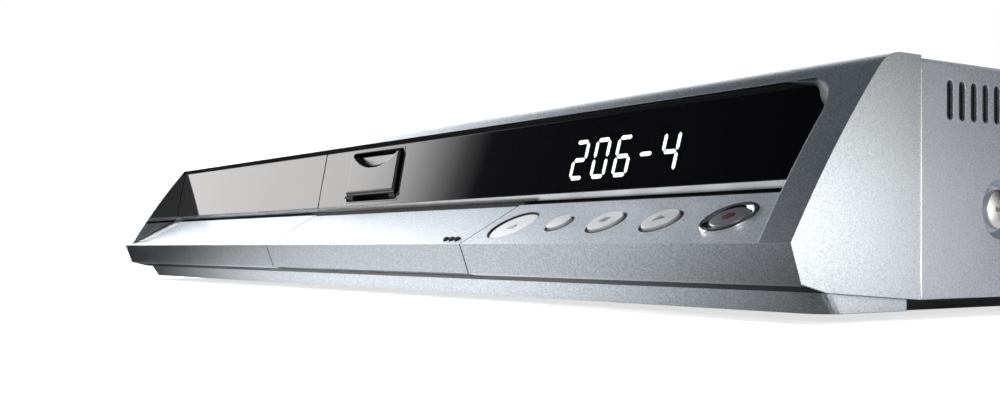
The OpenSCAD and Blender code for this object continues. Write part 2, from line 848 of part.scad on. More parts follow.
module front_fascia() {
    color(silver) difference() {
        union() {
            both_sides() cheek();
            top_channel();
            lower_channel([-inner_x - eps, flap_x[0]]);
            lower_channel([flap_x[1], inner_x + eps]);
            flap_sill();
            flap_rib(flap_x[0] - fascia_t);
            flap_rib(flap_x[1]);
            for (x = boss_x) board_boss(x);
        }
        button_hole(eject_x, eject_r + button_gap);
        button_hole(select_x, select_r + button_gap);
        for (x = [stop_x, play_x]) button_hole(x, play_r + button_gap);
        button_hole(record_x, ring_r - ring_sleeve + screw_gap);
        on_shelf(0, 0)
            span(wider(standby_x, button_gap), wider(standby_v, button_gap), [-fascia_t - past, past]);
        for (x = [flap_x[0] - fascia_t, flap_x[1]])
            rod_x([x - past, dy(hinge[0]), hz(hinge[1])], fascia_t + 2 * past, hinge_r + run_gap);
    }
}

// Thin slice of the plinth: round front corners and small back corners
module plinth_slice(s0, h, r) {
    side = half_w - plinth_inset;
    for (m = [-1, 1]) translate([0, 0, hz(h)]) {
        translate([m * (side - r), dy(s0 + r), 0]) cylinder(h = eps, r = r, $fn = 32);
        translate([m * (side - plinth_back_r), dy(fascia_d - plinth_back_r - seat_gap), 0])
            cylinder(h = eps, r = plinth_back_r, $fn = 16);
    }
}

module plinth() {
    lean = (plinth_drop - chin_drop) * plinth_lean;
    back = fascia_d + past;
    color(silver) translate([0, 0, -2 * eps]) difference() {
        hull() {
            plinth_slice(plinth_start, -chin_drop, plinth_r);
            plinth_slice(plinth_start + lean, -plinth_drop, plinth_r - 1);
        }
        along_x([-half_w, half_w])
            polygon([pt(0, under_h(0)), pt(back, under_h(back)), pt(back, 0), pt(0, 0)]);
    }
}

// Window and what is behind it

module glass_slab(x, t) {
    c = glass_chamfer;
    low = glass_v[0];
    high = glass_v[1];
    on_glass() along_x(x) polygon([[low, -t], [high, -t], [high, 0], [low + c, 0], [low, -c]]);
}

module card_opening(deep) {
    v = [card_v[0] - card_foot_gap, card_v[1] + card_gap];
    on_glass() span(wider(card_x, card_gap), v, [-deep, past]);
}

module display_window() {
    pin_x = wider(card_x, card_gap + card_pin_in + seat_gap);
    color(smoked) difference() {
        glass_slab([seam_x + seam, inner_x - window_gap], glass_t);
        card_opening(glass_t + past);
        on_glass() rod_x([pin_x[0], card_pin[0], card_pin[1]], pin_x[1] - pin_x[0], card_pin_r + run_gap);
    }
}

module inner_frame() {
    mouth = [tray_z - rack_h - mouth_gap, tray_top + mouth_gap];
    color(black) difference() {
        on_glass() span(wider([-inner_x, inner_x], -seat_gap), frame_v, [-behind_frame, -glass_t]);
        slab(about(tray_cx, tray_w + 4 * tray_play), [0, fascia_d], mouth);
        card_opening(behind_frame + past);
        on_glass() span(display_x, display_v, [-behind_frame - past, 0]);
    }
}

module display_tube() {
    color(dark_grey) on_glass() span(wider(display_x, tube_rim[0]), wider(display_v, tube_rim[1]),
        [-behind_frame - tube_t, -behind_frame]);
}

module display_board() {
    back = -behind_frame - tube_t;
    color(board_green) on_glass() span(wider(display_x, display_board_rim[0]),
        wider(display_v, display_board_rim[1]), [back - board_t, back]);
}

module button_board() {
    color(board_green) on_shelf(0, 0) for (x = [key_board_x, standby_board_x])
        span(x, key_board_v, [-under_shelf - board_t, -under_shelf]);
}

module switches() {
    w = about(0, switch_w);
    color(black) for (x = [standby_mid, eject_x, select_x, stop_x, play_x, record_x])
        on_shelf(x, button_v) translate([0, 0, -under_shelf]) {
            span(w, w, [0, switch_body]);
            cylinder(h = switch_h, r = stem_r);
        }
}

module jack_panel() {
    s = [shelf_run, shelf_run + panel_t];
    y0 = dy(shelf_run) - past;
    deep = panel_t + 2 * past;
    color(black) difference() {
        slab(wider(flap_x, fascia_t), s, [hz(under_h(shelf_run) + fascia_t), hz(shelf_rise + panel_top)]);
        for (x = front_rca_x) rod_y([x, y0, hz(jack_h)], deep, rca_r + socket_gap);
        rod_y([svideo_x, y0, hz(jack_h)], deep, svideo_r + socket_gap);
        slab(about(dv_x, dv_size[0] + 2 * socket_gap), wider(s, past),
            about(hz(jack_h), dv_size[1] + 2 * socket_gap));
    }
}

// Phono socket: a drilled barrel in front of its square body
module phono(x, s, h, reach, back) {
    w = rca_body;
    difference() {
        union() {
            rod_y([x, dy(s), hz(h)], reach + eps, rca_r);
            slab(about(x, w), [s + reach, s + reach + back], about(hz(h), w));
        }
        rod_y([x, dy(s) - past, hz(h)], reach + past, rca_pin_r);
    }
}

module front_jacks() {
    s0 = shelf_run;
    s1 = shelf_run + panel_t;
    s2 = s1 + jack_back;
    z = hz(jack_h);
    color(yellow_plastic) for (x = front_rca_x)
        phono(x, s0 - jack_front, jack_h, jack_front + panel_t, jack_back);
    color(black) difference() {
        union() {
            rod_y([svideo_x, dy(s0), z], panel_t + eps, svideo_r);
            slab(about(svideo_x, svideo_body[0]), [s1, s2], about(z, svideo_body[1]));
        }
        rod_y([svideo_x, dy(s0) - past, z], panel_t - svideo_wall / 2 + past, svideo_r - svideo_wall);
    }
    color(nickel) difference() {
        slab(about(dv_x, dv_size[0]), [s0, s2], about(z, dv_size[1]));
        slab(about(dv_x, dv_size[0] - 2 * dv_wall), [s0 - past, s0 + dv_depth],
            about(z, dv_size[1] - 2 * dv_wall));
    }
}

// Card slots: [width, height above the middle, thickness, depth]
card_slots = [[24.4, -2.15, 2.3, 24], [20.8, 3, 2, 20]];

module card_socket() {
    mid = (card_v[0] + card_v[1]) / 2;
    front = -behind_frame;
    color(dark_grey) on_glass() difference() {
        span(wider(card_x, card_socket_rim), wider(card_v, card_socket_rim), [front - card_socket_l, front]);
        for (c = card_slots) span(about(card_mid, c[0]), about(mid + c[1], c[2]), [front - c[3], past]);
    }
}

// Boards

module board(r) {
    difference() {
        slab([r[0], r[1]], [r[2], r[3]], [board_z, board_top]);
        for (p = board_corners(r)) translate([p[0], p[1], board_z - past])
            cylinder(h = board_t + 2 * past, r = board_screw_r + screw_gap);
    }
}

module main_board() {
    color(board_green) board(main_board_rect);
}

module power_board() {
    color(board_brown) board(power_board_rect);
}

module av_board() {
    color(board_green) board(av_board_rect);
}

// A flat chip at a distance from the middle of the main board
module chip(at, size) {
    translate([main_mid[0] + at[0], main_mid[1] + at[1], board_top])
        span(about(0, size[0]), about(0, size[1]), [0, size[2]]);
}

module main_chips() {
    w = about(0, sink_w);
    step = (sink_w - fin_t) / (fin_count - 1);
    color(black) {
        translate([main_mid[0], main_mid[1] - sink_back, board_top]) {
            span(w, w, [0, sink_base]);
            for (i = [0:fin_count - 1])
                span([w[0] + i * step, w[0] + i * step + fin_t], w, [sink_base - eps, sink_base + fin_h]);
        }
        for (m = [-1, 1]) {
            chip([m * big_chip_at[0], big_chip_at[1]], big_chip);
            chip([m * small_chip_at[0], small_chip_at[1]], small_chip);
        }
    }
}

// Transformer, capacitors, heat sink and fuse on the power board
module power_parts() {
    width = power_board_rect[1] - power_board_rect[0];
    translate([power_board_rect[0], dy(power_board_rect[2]), board_top]) {
        color(yellow_plastic) translate(coil_at) cube(coil);
        color(black) for (y = cap_y) translate([width - cap_in, y, 0]) cylinder(h = cap_h, r = cap_r);
        color(zinc) translate(cooler_at) cube(cooler);
        color(white_nylon) translate(fuse_at) cube(fuse);
    }
}

module tuner_can() {
    color(zinc) slab(tuner_x, [panel_s - tuner_l, panel_s], [board_top, board_top + tuner_h]);
}

// Hard drive

module hard_drive() {
    top = hdd_z + hdd_h;
    color(dark_grey) difference() {
        slab(hdd_x, hdd_s, [hdd_z, top]);
        slab(wider(hdd_x, -hdd_lid[0]), [hdd_s[0] + hdd_lid[1], hdd_s[1] - hdd_lid[2]],
            [top - hdd_lid[3], top + past]);
    }
}

module hard_drive_bracket() {
    x = wider(hdd_x, bracket_rim[0]);
    top = bracket_z + bracket_t;
    w = bracket_foot[0];
    feet_s = [hdd_s[0] + bracket_foot[1], hdd_s[1] - bracket_foot[1] - w];
    color(steel) {
        slab(x, wider(hdd_s, bracket_rim[1]), [bracket_z, top]);
        for (left = [x[0], x[1] - bracket_t], s = feet_s)
            slab([left, left + bracket_t], [s, s + w], [floor_z, top]);
    }
}

module hard_drive_bushes() {
    x = wider(hdd_x, -bush_in[0]);
    s = wider(hdd_s, -bush_in[1]);
    color(black) for (px = x, ps = s) translate([px, dy(ps), bracket_z + bracket_t])
        cylinder(h = bush_h, r = bush_r);
}

// Disc drive

// Interval on the left or right of the drive's middle
function side(m, a, b) = m > 0 ? [tray_cx + a, tray_cx + b] : [tray_cx - b, tray_cx - a];

// Stands a cylinder on the deck
module post(x, s, h, r) {
    translate([x, dy(s), deck_z - eps]) cylinder(h = h + eps, r = r);
}

// Bracket that carries the end of a rod
module rod_bracket(x, s, z) {
    slab(about(x, bracket_size[0]), [s, s + bracket_size[1]], [deck_z - eps, z + shaft_r + bracket_size[2]]);
}

module drive_frame() {
    s = [drive_s0, drive_s1];
    rail_top = tray_z - seat_gap;
    inside = about(tray_cx, 2 * (wall_x + eps));
    rods = [tray_cx - rod_off, tray_cx + rod_off];
    color(dark_grey) difference() {
        union() {
            for (m = [-1, 1]) {
                slab(side(m, wall_x, wall_x + wall_t), s, [drive_z0, wall_top]);
                slab(side(m, wall_x - rail_w, wall_x + eps), s, [rail_top - rail_t, rail_top]);
                slab(side(m, wall_x - guide_w, wall_x + eps), [s[0], s[0] + guide_l],
                    [tray_top + curve_gap, wall_top]);
            }
            slab(inside, s, [deck_z - deck_t, deck_z]);
            slab(inside, [s[1] - wall_t, s[1]], [drive_z0, rail_top - mouth_gap]);
            post(gear_x, gear_s, gear_z[0] - deck_z - seat_gap, gear_post_r);
            for (x = [gear_x, pulley_x]) post(x, gear_s, gear_z[1] - deck_z, shaft_r);
            for (x = rods, at = [rod_s0, rod_s1]) rod_bracket(x, at, rod_z);
            rod_bracket(lead_x, rod_s1, lead_z);
        }
        for (x = rods) rod_y([x, dy(rod_s0) - past, rod_z], rod_end - rod_s0 + 2 * past, shaft_r + run_gap);
        rod_y([lead_x, dy(rod_s1) - past, lead_z], bracket_size[1] + 2 * past, shaft_r + run_gap);
        translate([motor_x, dy(gear_s), deck_z - deck_t - past])
            cylinder(h = deck_t + 2 * past, r = motor_shaft_r + past);
    }
}

module guide_rods() {
    color(nickel) for (m = [-1, 1])
        rod_y([tray_cx + m * rod_off, dy(rod_s0), rod_z], rod_end - rod_s0, shaft_r);
}

module clamp_bridge() {
    color(steel) difference() {
        slab(about(tray_cx, 2 * (wall_x + wall_t)), about(disc_s, bridge_w), [wall_top, wall_top + bridge_t]);
        translate([tray_cx, dy(disc_s), wall_top - past]) cylinder(h = bridge_t + 2 * past, r = bridge_hole);
    }
}

// The clamp hangs by its rim in the hole of the bridge
module clamp_puck() {
    rim_z = wall_top + bridge_t + seat_gap;
    foot_z = tray_top + puck_lift;
    color(white_nylon) translate([tray_cx, dy(disc_s), 0]) {
        translate([0, 0, foot_z]) cylinder(h = rim_z - foot_z + eps, r = puck_r);
        translate([0, 0, rim_z]) cylinder(h = puck_rim[1], r = puck_r + puck_rim[0]);
    }
}

module loading_motor() {
    top = deck_z - deck_t;
    color(zinc) translate([motor_x, dy(gear_s), 0]) difference() {
        translate([0, 0, top - motor_l]) cylinder(h = motor_l, r = motor_r);
        translate([0, 0, top - motor_bore]) cylinder(h = motor_bore + past, r = motor_shaft_r + run_gap);
    }
}

// Closed belt path round two pulleys, at a distance o from them
function belt_outline(o) = let (d = pulley_x - motor_x, a = acos((pulley_r - motor_pulley_r) / d))
    concat(arc([pulley_x, dy(gear_s)], pulley_r + o, -180 + a, 180 - a, 30),
        arc([motor_x, dy(gear_s)], motor_pulley_r + o, 180 - a, 180 + a, 16));

module drive_belt() {
    color(black) translate([0, 0, pulley_z0 + belt_in]) difference() {
        linear_extrude(pulley_h - 2 * belt_in) polygon(belt_outline(belt_gap + belt_t));
        translate([0, 0, -past]) linear_extrude(pulley_h) polygon(belt_outline(belt_gap));
    }
}

module spindle_motor() {
    color(zinc) translate([tray_cx, dy(disc_s), deck_z]) difference() {
        cylinder(h = spindle_h, r = spindle_r);
        translate([0, 0, spindle_h - spindle_bore]) cylinder(h = spindle_bore + past, r = shaft_r + run_gap);
    }
}

module turntable() {
    z0 = spindle_h + seat_gap;
    shaft_z = spindle_h - spindle_bore + seat_gap;
    color(black) translate([tray_cx, dy(disc_s), deck_z]) {
        translate([0, 0, z0]) cylinder(h = turntable_t, r = turntable_r);
        translate([0, 0, z0 + turntable_t - eps])
            cylinder(h = turntable_t, r1 = hub_cone[0], r2 = hub_cone[1]);
        translate([0, 0, shaft_z]) cylinder(h = z0 - shaft_z + eps, r = shaft_r);
    }
}

module sled_motor() {
    s = sled_motor_s;
    color(zinc) difference() {
        rod_y([lead_x, dy(s[0]), lead_z], s[1] - s[0], sled_motor_r);
        rod_y([lead_x, dy(lead_s0 - seat_gap), lead_z], s[1] - lead_s0 + seat_gap + past, shaft_r + run_gap);
    }
}

module sled_screw() {
    color(nickel) rod_y([lead_x, dy(lead_s0), lead_z], rod_end - lead_s0, shaft_r);
}

module pickup_sled() {
    s = [sled_s0, sled_s0 + sled_l];
    wide = rod_off + sled_rim;
    color(dark_grey) difference() {
        union() {
            slab(about(tray_cx, 2 * wide), s, sled_z);
            slab([tray_cx + rod_off, lead_x + sled_rim], [s[0] + sled_nut[0], s[0] + sled_nut[1]],
                [sled_z[0], lead_z + sled_rim]);
            translate([tray_cx, dy(s[0] + lens_s), rod_z]) cylinder(h = lens_h, r = lens_r);
        }
        for (m = [-1, 1])
            rod_y([tray_cx + m * rod_off, dy(s[0]) - past, rod_z], sled_l + 2 * past, shaft_r + run_gap);
        rod_y([lead_x, dy(s[0]), lead_z], sled_l, shaft_r + curve_gap);
    }
}

// Involute tooth: half of its angle at radius r, thinned by the backlash at the pitch circle
function roll(r, rb) = sqrt(max(0, r * r / (rb * rb) - 1));
function inv_deg(r, rb) = roll(r, rb) * 180 / PI - atan(roll(r, rb));
function half_deg(r, n) = let (rp = gear_module * n / 2, rb = rp * cos(pressure))
    90 / n - backlash / 4 / rp * 180 / PI + inv_deg(rp, rb) - inv_deg(max(r, rb), rb);

// Outline of a gear with n teeth: each tooth goes up one flank and down the other
function tooth_outline(n) = let (rp = gear_module * n / 2, foot = rp - dedendum, tip = rp + addendum,
    r0 = max(rp * cos(pressure), foot), flank = [for (i = [0:flank_steps]) r0 + (tip - r0) * i / flank_steps])
    [for (k = [0:n - 1]) let (a = k * 360 / n) each concat(
        [polar(foot, a - half_deg(r0, n))],
        [for (r = flank) polar(r, a - half_deg(r, n))],
        [for (i = [flank_steps:-1:0]) polar(flank[i], a + half_deg(flank[i], n))],
        [polar(foot, a + half_deg(r0, n))])];

module tray_gear() {
    h = gear_z[1] - gear_z[0];
    color(white_nylon) translate([gear_x, dy(gear_s), gear_z[0]]) difference() {
        linear_extrude(h) polygon(tooth_outline(gear_teeth));
        translate([0, 0, -past]) cylinder(h = h + 2 * past, r = shaft_r + run_gap);
    }
}

// Belt pulley with a bottom rim
module pulley(r) {
    cylinder(h = pulley_rim[1], r = r + pulley_rim[0]);
    cylinder(h = pulley_h, r = r);
}

module pulley_gear() {
    teeth_z = gear_z[0] - pulley_z0;
    top = gear_z[1] - pulley_z0;
    color(white_nylon) translate([pulley_x, dy(gear_s), pulley_z0]) difference() {
        union() {
            pulley(pulley_r);
            translate([0, 0, pulley_h - eps])
                cylinder(h = teeth_z - pulley_h + 2 * eps, r = pinion_r - dedendum - eps);
            translate([0, 0, teeth_z]) linear_extrude(top - teeth_z) rotate(180 / pinion_teeth)
                polygon(tooth_outline(pinion_teeth));
        }
        translate([0, 0, -past]) cylinder(h = top + 2 * past, r = shaft_r + run_gap);
    }
}

module motor_pulley() {
    shaft_z = deck_z - deck_t - motor_shaft_l - pulley_z0;
    color(white_nylon) translate([motor_x, dy(gear_s), pulley_z0]) {
        pulley(motor_pulley_r);
        translate([0, 0, shaft_z]) cylinder(h = eps - shaft_z, r = motor_shaft_r);
    }
}

// Rack on the underside of the tray, teeth towards the gear
module rack() {
    pitch = PI * gear_module;
    thick = (pitch - backlash) / 2;
    slope = tan(pressure);
    first = -floor((gear_s - rack_s[0] - pitch) / pitch);
    last = floor((rack_s[1] - gear_s - pitch) / pitch);
    tooth = [[dedendum + eps, -thick / 2 - dedendum * slope], [-addendum, -thick / 2 + addendum * slope],
        [-addendum, thick / 2 - addendum * slope], [dedendum + eps, thick / 2 + dedendum * slope]];
    slab([rack_x + dedendum, rack_x + rack_w], rack_s, [tray_z - rack_h, tray_z + eps]);
    translate([0, 0, tray_z - rack_h]) linear_extrude(rack_h + eps) for (k = [first:last - 1])
        translate([rack_x, dy(gear_s) + (k + 0.5) * pitch]) polygon(tooth);
}

// Round recess in the top of the tray
module recess(x, deep, r) {
    translate([x, dy(disc_s), tray_top - deep]) cylinder(h = deep + past, r = r);
}

module disc_tray() {
    through = wider([tray_z, tray_top], past);
    color(dark_grey) difference() {
        union() {
            slab(about(tray_cx, tray_w), [tray_s0, tray_s1], [tray_z, tray_top]);
            rack();
        }
        on_glass() span([-half_w, half_w], [0, 3 * unit_h], [-bezel_t, unit_h]);
        recess(tray_cx, disc_d, disc_r);
        recess(tray_cx, disc_d + small_disc_d, small_disc_r);
        for (m = [-1, 1]) recess(tray_cx + m * disc_r, disc_d + finger_d, finger_r);
        translate([tray_cx, dy(disc_s), through[0]])
            cylinder(h = through[1] - through[0], r = turntable_r + sled_rim);
        slab(about(tray_cx, 2 * tray_slot), [disc_s, disc_s + disc_r - 4], through);
        slab(about(tray_cx, tray_w - 2 * tray_arm), [disc_s + disc_r + 6, tray_s1 + past], through);
    }
}

module tray_bezel() {
    color(smoked) glass_slab(bezel_x, bezel_t);
}

// Rear sockets

module scart_sockets() {
    color(black) for (x = scart_x) difference() {
        span(about(x, scart_w), scart_y, scart_z);
        span(about(x, scart_w - 2 * scart_wall), [dy(rear_s) - scart_floor, scart_y[1] + past],
            wider(scart_z, -scart_wall));
    }
}

// Each pair of barrels has one body, and a collar holds each barrel to the panel
module phono_sockets() {
    body_y = [dy(panel_s) - rca_block[1], dy(panel_s)];
    color(yellow_plastic) for (x = rca_x) {
        span(about(x, rca_block[0]), body_y, [board_top, rca_z[1] + rca_block[2]]);
        for (z = rca_z) difference() {
            union() {
                rod_y([x, body_y[1] - eps, z], sheet_t + rca_end + eps, rca_r);
                rod_y([x, dy(rear_s), z], rca_collar[1], rca_r + rca_collar[0]);
            }
            rod_y([x, dy(rear_s) + rca_collar[1], z], jack_reach, rca_pin_r);
        }
    }
}

module satellite_sockets() {
    color(nickel) for (x = sat_x) translate([x, dy(rear_s), sat_z]) difference() {
        union() {
            rod_y([0, -sheet_t, 0], sheet_t + jack_reach, sat_r);
            rotate([-90, 0, 0]) cylinder(h = sat_nut[1], r = sat_r + sat_nut[0], $fn = 6);
        }
        rod_y([0, jack_reach - sat_bore[1], 0], sat_bore[1] + past, sat_bore[0]);
    }
}

// Video socket with a tongue, and the optical socket on its leg above it
module digital_sockets() {
    floor_y = hdmi_y[1] - hdmi_depth;
    color(nickel) {
        difference() {
            span(about(hdmi_x, hdmi_w), hdmi_y, hdmi_z);
            span(about(hdmi_x, hdmi_w - 2 * hdmi_wall), [floor_y, hdmi_y[1] + past],
                wider(hdmi_z, -hdmi_wall));
        }
        span(about(hdmi_x, tongue[0]), [floor_y - hdmi_wall / 2, floor_y + tongue[1]],
            about((hdmi_z[0] + hdmi_z[1]) / 2, tongue[2]));
    }
    color(black) difference() {
        union() {
            span(about(hdmi_x, optical_w), optical_y, optical_z);
            span(about(hdmi_x, optical_w), [optical_y[0], optical_y[0] + optical_leg],
                [hdmi_z[1], optical_z[0] + eps]);
        }
        span(about(hdmi_x, optical_port[0]), [optical_y[1] - optical_port[1], optical_y[1] + past],
            about((optical_z[0] + optical_z[1]) / 2, optical_port[0]));
    }
}

// Figure of eight socket with two pins
module mains_inlet() {
    y0 = mains_y[1] - mains_depth;
    lobe = mains_lobe;
    color(black) difference() {
        span(about(mains_x, mains_w), mains_y, about(mains_z, mains_h));
        for (m = [-1, 1]) rod_y([mains_x + m * lobe[0], y0, mains_z], mains_depth + past, lobe[1]);
        span(about(mains_x, 2 * lobe[0]), [y0, mains_y[1] + past], about(mains_z, 2 * lobe[1]));
    }
    color(nickel) for (m = [-1, 1])
        rod_y([mains_x + m * mains_pin[0], y0 - seat_gap, mains_z], mains_pin[2], mains_pin[1]);
}

// Fan

module fan_frame() {
    color(black) difference() {
        union() {
            difference() {
                span(about(fan_x, fan_w), fan_y, about(fan_z, fan_w));
                rod_y([fan_x, fan_y[0] - past, fan_z], fan_d + 2 * past, fan_hole_r);
            }
            rod_y([fan_x, fan_y[1] - hub_d, fan_z], hub_d, hub_r);
            for (a = [45:90:315]) translate([fan_x, fan_y[1], fan_z]) rotate([0, a, 0])
                span([hub_r - past, fan_hole_r + past], [-spoke[1], 0], about(0, spoke[0]));
        }
        rod_y([fan_x, fan_y[1] - hub_d - past, fan_z], hub_d + 2 * past, shaft_r + run_gap);
        fan_corners()
            rod_y([0, fan_y[1] - fan_screw_l - past, 0], fan_screw_l + 2 * past, fan_screw_r + screw_gap);
    }
}

module fan_rotor() {
    y0 = fan_y[0] + hub_gap;
    l = fan_d - hub_d - 2 * hub_gap;
    color(dark_grey) {
        rod_y([fan_x, y0, fan_z], l, hub_r);
        rod_y([fan_x, y0 + l - eps, fan_z], hub_d, shaft_r);
        intersection() {
            rod_y([fan_x, y0, fan_z], l, fan_hole_r - blade_gap);
            union() for (i = [0:blade_count - 1]) translate([fan_x, y0 + l / 2, fan_z])
                rotate([0, i * 360 / blade_count, 0]) rotate([blade_lean, 0, 0])
                    span([hub_r - past, fan_hole_r], [-l, l], about(0, blade_t));
        }
    }
}

// Flaps

// The flap's shelf and band in one folded wall, with two hubs and two pins
module input_flap() {
    t = fascia_t;
    x = wider(flap_x, -seam / 2);
    nose = lip_inner(t);
    tip_s = shelf_run - seam;
    tip_h = tip_s * tan(shelf_a);
    pin_l = fascia_t - seat_gap + seam / 2 + hinge_bite;
    color(silver) {
        along_x(x) polygon([pt(0, 0), pt(band_run, -band_drop), pt(band_run + t, -band_drop),
            pt(nose[0], nose[1]), pt(tip_s, tip_h - t / cos(shelf_a)), pt(tip_s, tip_h)]);
        translate([0, dy(hinge[0]), hz(hinge[1])]) {
            for (at = [x[0], x[1] - hinge_hub[0]]) rod_x([at, 0, 0], hinge_hub[0], hinge_hub[1]);
            for (at = [x[0] + hinge_bite - pin_l, x[1] - hinge_bite]) rod_x([at, 0, 0], pin_l, hinge_r);
        }
    }
}

module card_flap() {
    low = card_v[0];
    b = card_bevel;
    face = card_rise;
    pin_l = card_gap + card_pin_in + card_bevel;
    color(smoked) on_glass() difference() {
        union() {
            along_x(card_x) polygon([[low, -card_t], [card_v[1], -card_t], [card_v[1], face], [low + b, face],
                [low, face - b]]);
            translate([0, card_pin[0], card_pin[1]]) {
                for (at = [card_x[0], card_x[1] - card_hub[0]]) rod_x([at, 0, 0], card_hub[0], card_hub[1]);
                for (at = [card_x[0] + b - pin_l, card_x[1] - b]) rod_x([at, 0, 0], pin_l, card_pin_r);
            }
        }
        translate([card_mid, card_v[1] + scoop_r - scoop_h, face - scoop_d])
            cylinder(h = scoop_d + past, r = scoop_r);
    }
}

// Buttons

// Round button: cap, flange that holds it under the shelf, and stem above its switch
module round_button(x, r, rise) {
    foot = fascia_t + key_gap + flange_t;
    color(pale_key) on_shelf(x, button_v) {
        translate([0, 0, -foot]) cylinder(h = foot + rise, r = r);
        translate([0, 0, -foot]) cylinder(h = flange_t, r = r + flange_w);
        translate([0, 0, -stem_end]) cylinder(h = stem_end - fascia_t, r = stem_r);
    }
}

module eject_button() {
    round_button(eject_x, eject_r, -eject_sink);
}

module select_button() {
    round_button(select_x, select_r, button_rise);
}

module stop_button() {
    round_button(stop_x, play_r, button_rise);
}

module play_button() {
    round_button(play_x, play_r, button_rise);
}

module record_button() {
    round_button(record_x, record_r, button_rise);
}

// The standby key is flush with the shelf, and its flange is at its front and inner edges
module standby_button() {
    foot = fascia_t + key_gap;
    color(silver) on_shelf(0, 0) {
        span(standby_x, standby_v, [-foot - eps, 0]);
        span([standby_x[0], standby_x[1] + flange_w], [standby_v[0] - flange_w, standby_v[1]],
            [-foot - flange_t, -foot]);
        translate([standby_mid, button_v, -stem_end]) cylinder(h = stem_end - fascia_t, r = stem_r);
    }
}

// Chrome ring: a rounded collar on the shelf, its sleeve down the shelf's hole
module record_ring() {
    bore = record_r + button_gap;
    sleeve = ring_r - ring_sleeve;
    low = ring_h / 2;
    color(nickel) on_shelf(record_x, button_v) rotate_extrude() polygon([
        [bore, -fascia_t], [sleeve, -fascia_t], [sleeve, 0], [ring_r, 0], [ring_r, low],
        [ring_r - low, ring_h], [bore + ring_bowl, ring_h], [bore, -low]]);
}

bottom_pan();
top_cover();
rear_panel();
front_fascia();
plinth();
feet();
cover_screws();
inner_screws();
inner_frame();
display_window();
display_tube();
display_board();
button_board();
switches();
jack_panel();
front_jacks();
card_socket();
record_ring();
main_board();
main_chips();
power_board();
power_parts();
av_board();
tuner_can();
hard_drive();
hard_drive_bracket();
hard_drive_bushes();
drive_frame();
clamp_bridge();
loading_motor();
drive_belt();
spindle_motor();
guide_rods();
sled_motor();
scart_sockets();
phono_sockets();
satellite_sockets();
digital_sockets();
mains_inlet();
fan_frame();
disc_tray();
tray_bezel();
tray_gear();
pulley_gear();
motor_pulley();
turntable();
clamp_puck();
pickup_sled();
sled_screw();
fan_rotor();
input_flap();
card_flap();
standby_button();
eject_button();
select_button();
stop_button();
play_button();
record_button();
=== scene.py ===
"""Looks of a disc recorder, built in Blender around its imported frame.

Lengths are metres in the frame's own axes: X to the right, Y to the back, Z up. The front is described by
two measures: s, how far a point lies behind the lip, and h, how far it lies above the lip.
"""
from __future__ import annotations

import logging
import math
from collections.abc import Sequence
from dataclasses import dataclass, field, replace
from enum import Enum

import bmesh
import bpy
import numpy as np
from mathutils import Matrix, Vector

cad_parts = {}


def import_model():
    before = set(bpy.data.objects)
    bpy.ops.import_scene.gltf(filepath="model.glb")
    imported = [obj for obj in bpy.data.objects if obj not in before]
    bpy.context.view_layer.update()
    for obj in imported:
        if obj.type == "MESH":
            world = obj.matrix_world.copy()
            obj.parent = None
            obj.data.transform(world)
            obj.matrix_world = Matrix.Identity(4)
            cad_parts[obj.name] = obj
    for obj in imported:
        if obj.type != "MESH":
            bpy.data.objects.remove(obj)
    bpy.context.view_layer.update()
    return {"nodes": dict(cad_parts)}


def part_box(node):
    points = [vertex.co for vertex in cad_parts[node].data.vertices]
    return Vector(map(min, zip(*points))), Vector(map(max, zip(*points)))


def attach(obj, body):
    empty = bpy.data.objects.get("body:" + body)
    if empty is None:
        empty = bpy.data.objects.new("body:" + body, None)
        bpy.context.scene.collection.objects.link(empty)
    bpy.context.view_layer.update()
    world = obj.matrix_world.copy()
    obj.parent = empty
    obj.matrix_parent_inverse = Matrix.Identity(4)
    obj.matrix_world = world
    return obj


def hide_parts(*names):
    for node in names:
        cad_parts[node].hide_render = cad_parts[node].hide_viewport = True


LOG = logging.getLogger("recorder")
MM = 0.001
# Place of the lip, and height of the control shelf's head above the floor.
LIP_Y = -164 * MM
LIP_Z = 17 * MM
SHELF_HEAD = 28.9 * MM
# Half the width between the cheeks, height of the window's upper edge above the lip, and the circle of a
# cheek's front: its centre behind and above the lip, and its radius.
CHEEK_X = 206.2 * MM
WINDOW_HEAD = 37.8 * MM
CHEEK_CURVE = (244.332 * MM, -149.423 * MM, 286.401 * MM)
# Distance of doubles, and angle in degrees from which an edge is sharp.
MERGE_WITHIN = 1e-7
SHARP_FROM = 35
# Shared by all finishes. A face looks up when that much of its normal points up.
LOOKS_UP = 0.8
BROAD_SCALE = 14.0
BROAD_SHARE = 0.25
GLOSS_STRAY = 0.12
COAT_ROUGH = 0.06
BEVEL_SAMPLES = 6

Pair = tuple[float, float]
Triple = tuple[float, float, float]
Quad = tuple[float, float, float, float]
Colour = Triple
Tree = bpy.types.NodeTree
Socket = bpy.types.NodeSocket


def feed(tree: Tree, node: bpy.types.Node, feeds: dict[str | int, object]) -> None:
    """Feeds a node's inputs.

    Args:
        tree: the nodes that it belongs to.
        node: the node.
        feeds: what goes into each input: a socket is linked, and anything else is set as its value.
    """
    for key, value in feeds.items():
        if isinstance(value, Socket):
            tree.links.new(value, node.inputs[key])
        else:
            node.inputs[key].default_value = value


def put_node(tree: Tree, kind: str, feeds: dict[str | int, object] | None = None,
             operation: str = "") -> bpy.types.Node:
    """Adds a shader node and feeds its inputs.

    Args:
        tree: the nodes to add to.
        kind: the node's type, less the word that every shader node's type starts with.
        feeds: what goes into its inputs.
        operation: what a node of maths works out.

    Returns:
        The new node.
    """
    node = tree.nodes.new("ShaderNode" + kind)
    if operation:
        node.operation = operation
    feed(tree, node, feeds or {})
    return node


class Grain(Enum):
    """Kinds of fine surface pattern."""

    FLAKE = "flake"
    BRUSHED = "brushed"
    MOULDED = "moulded"
    POLISHED = "polished"
    LAMINATE = "laminate"
    CAST = "cast"


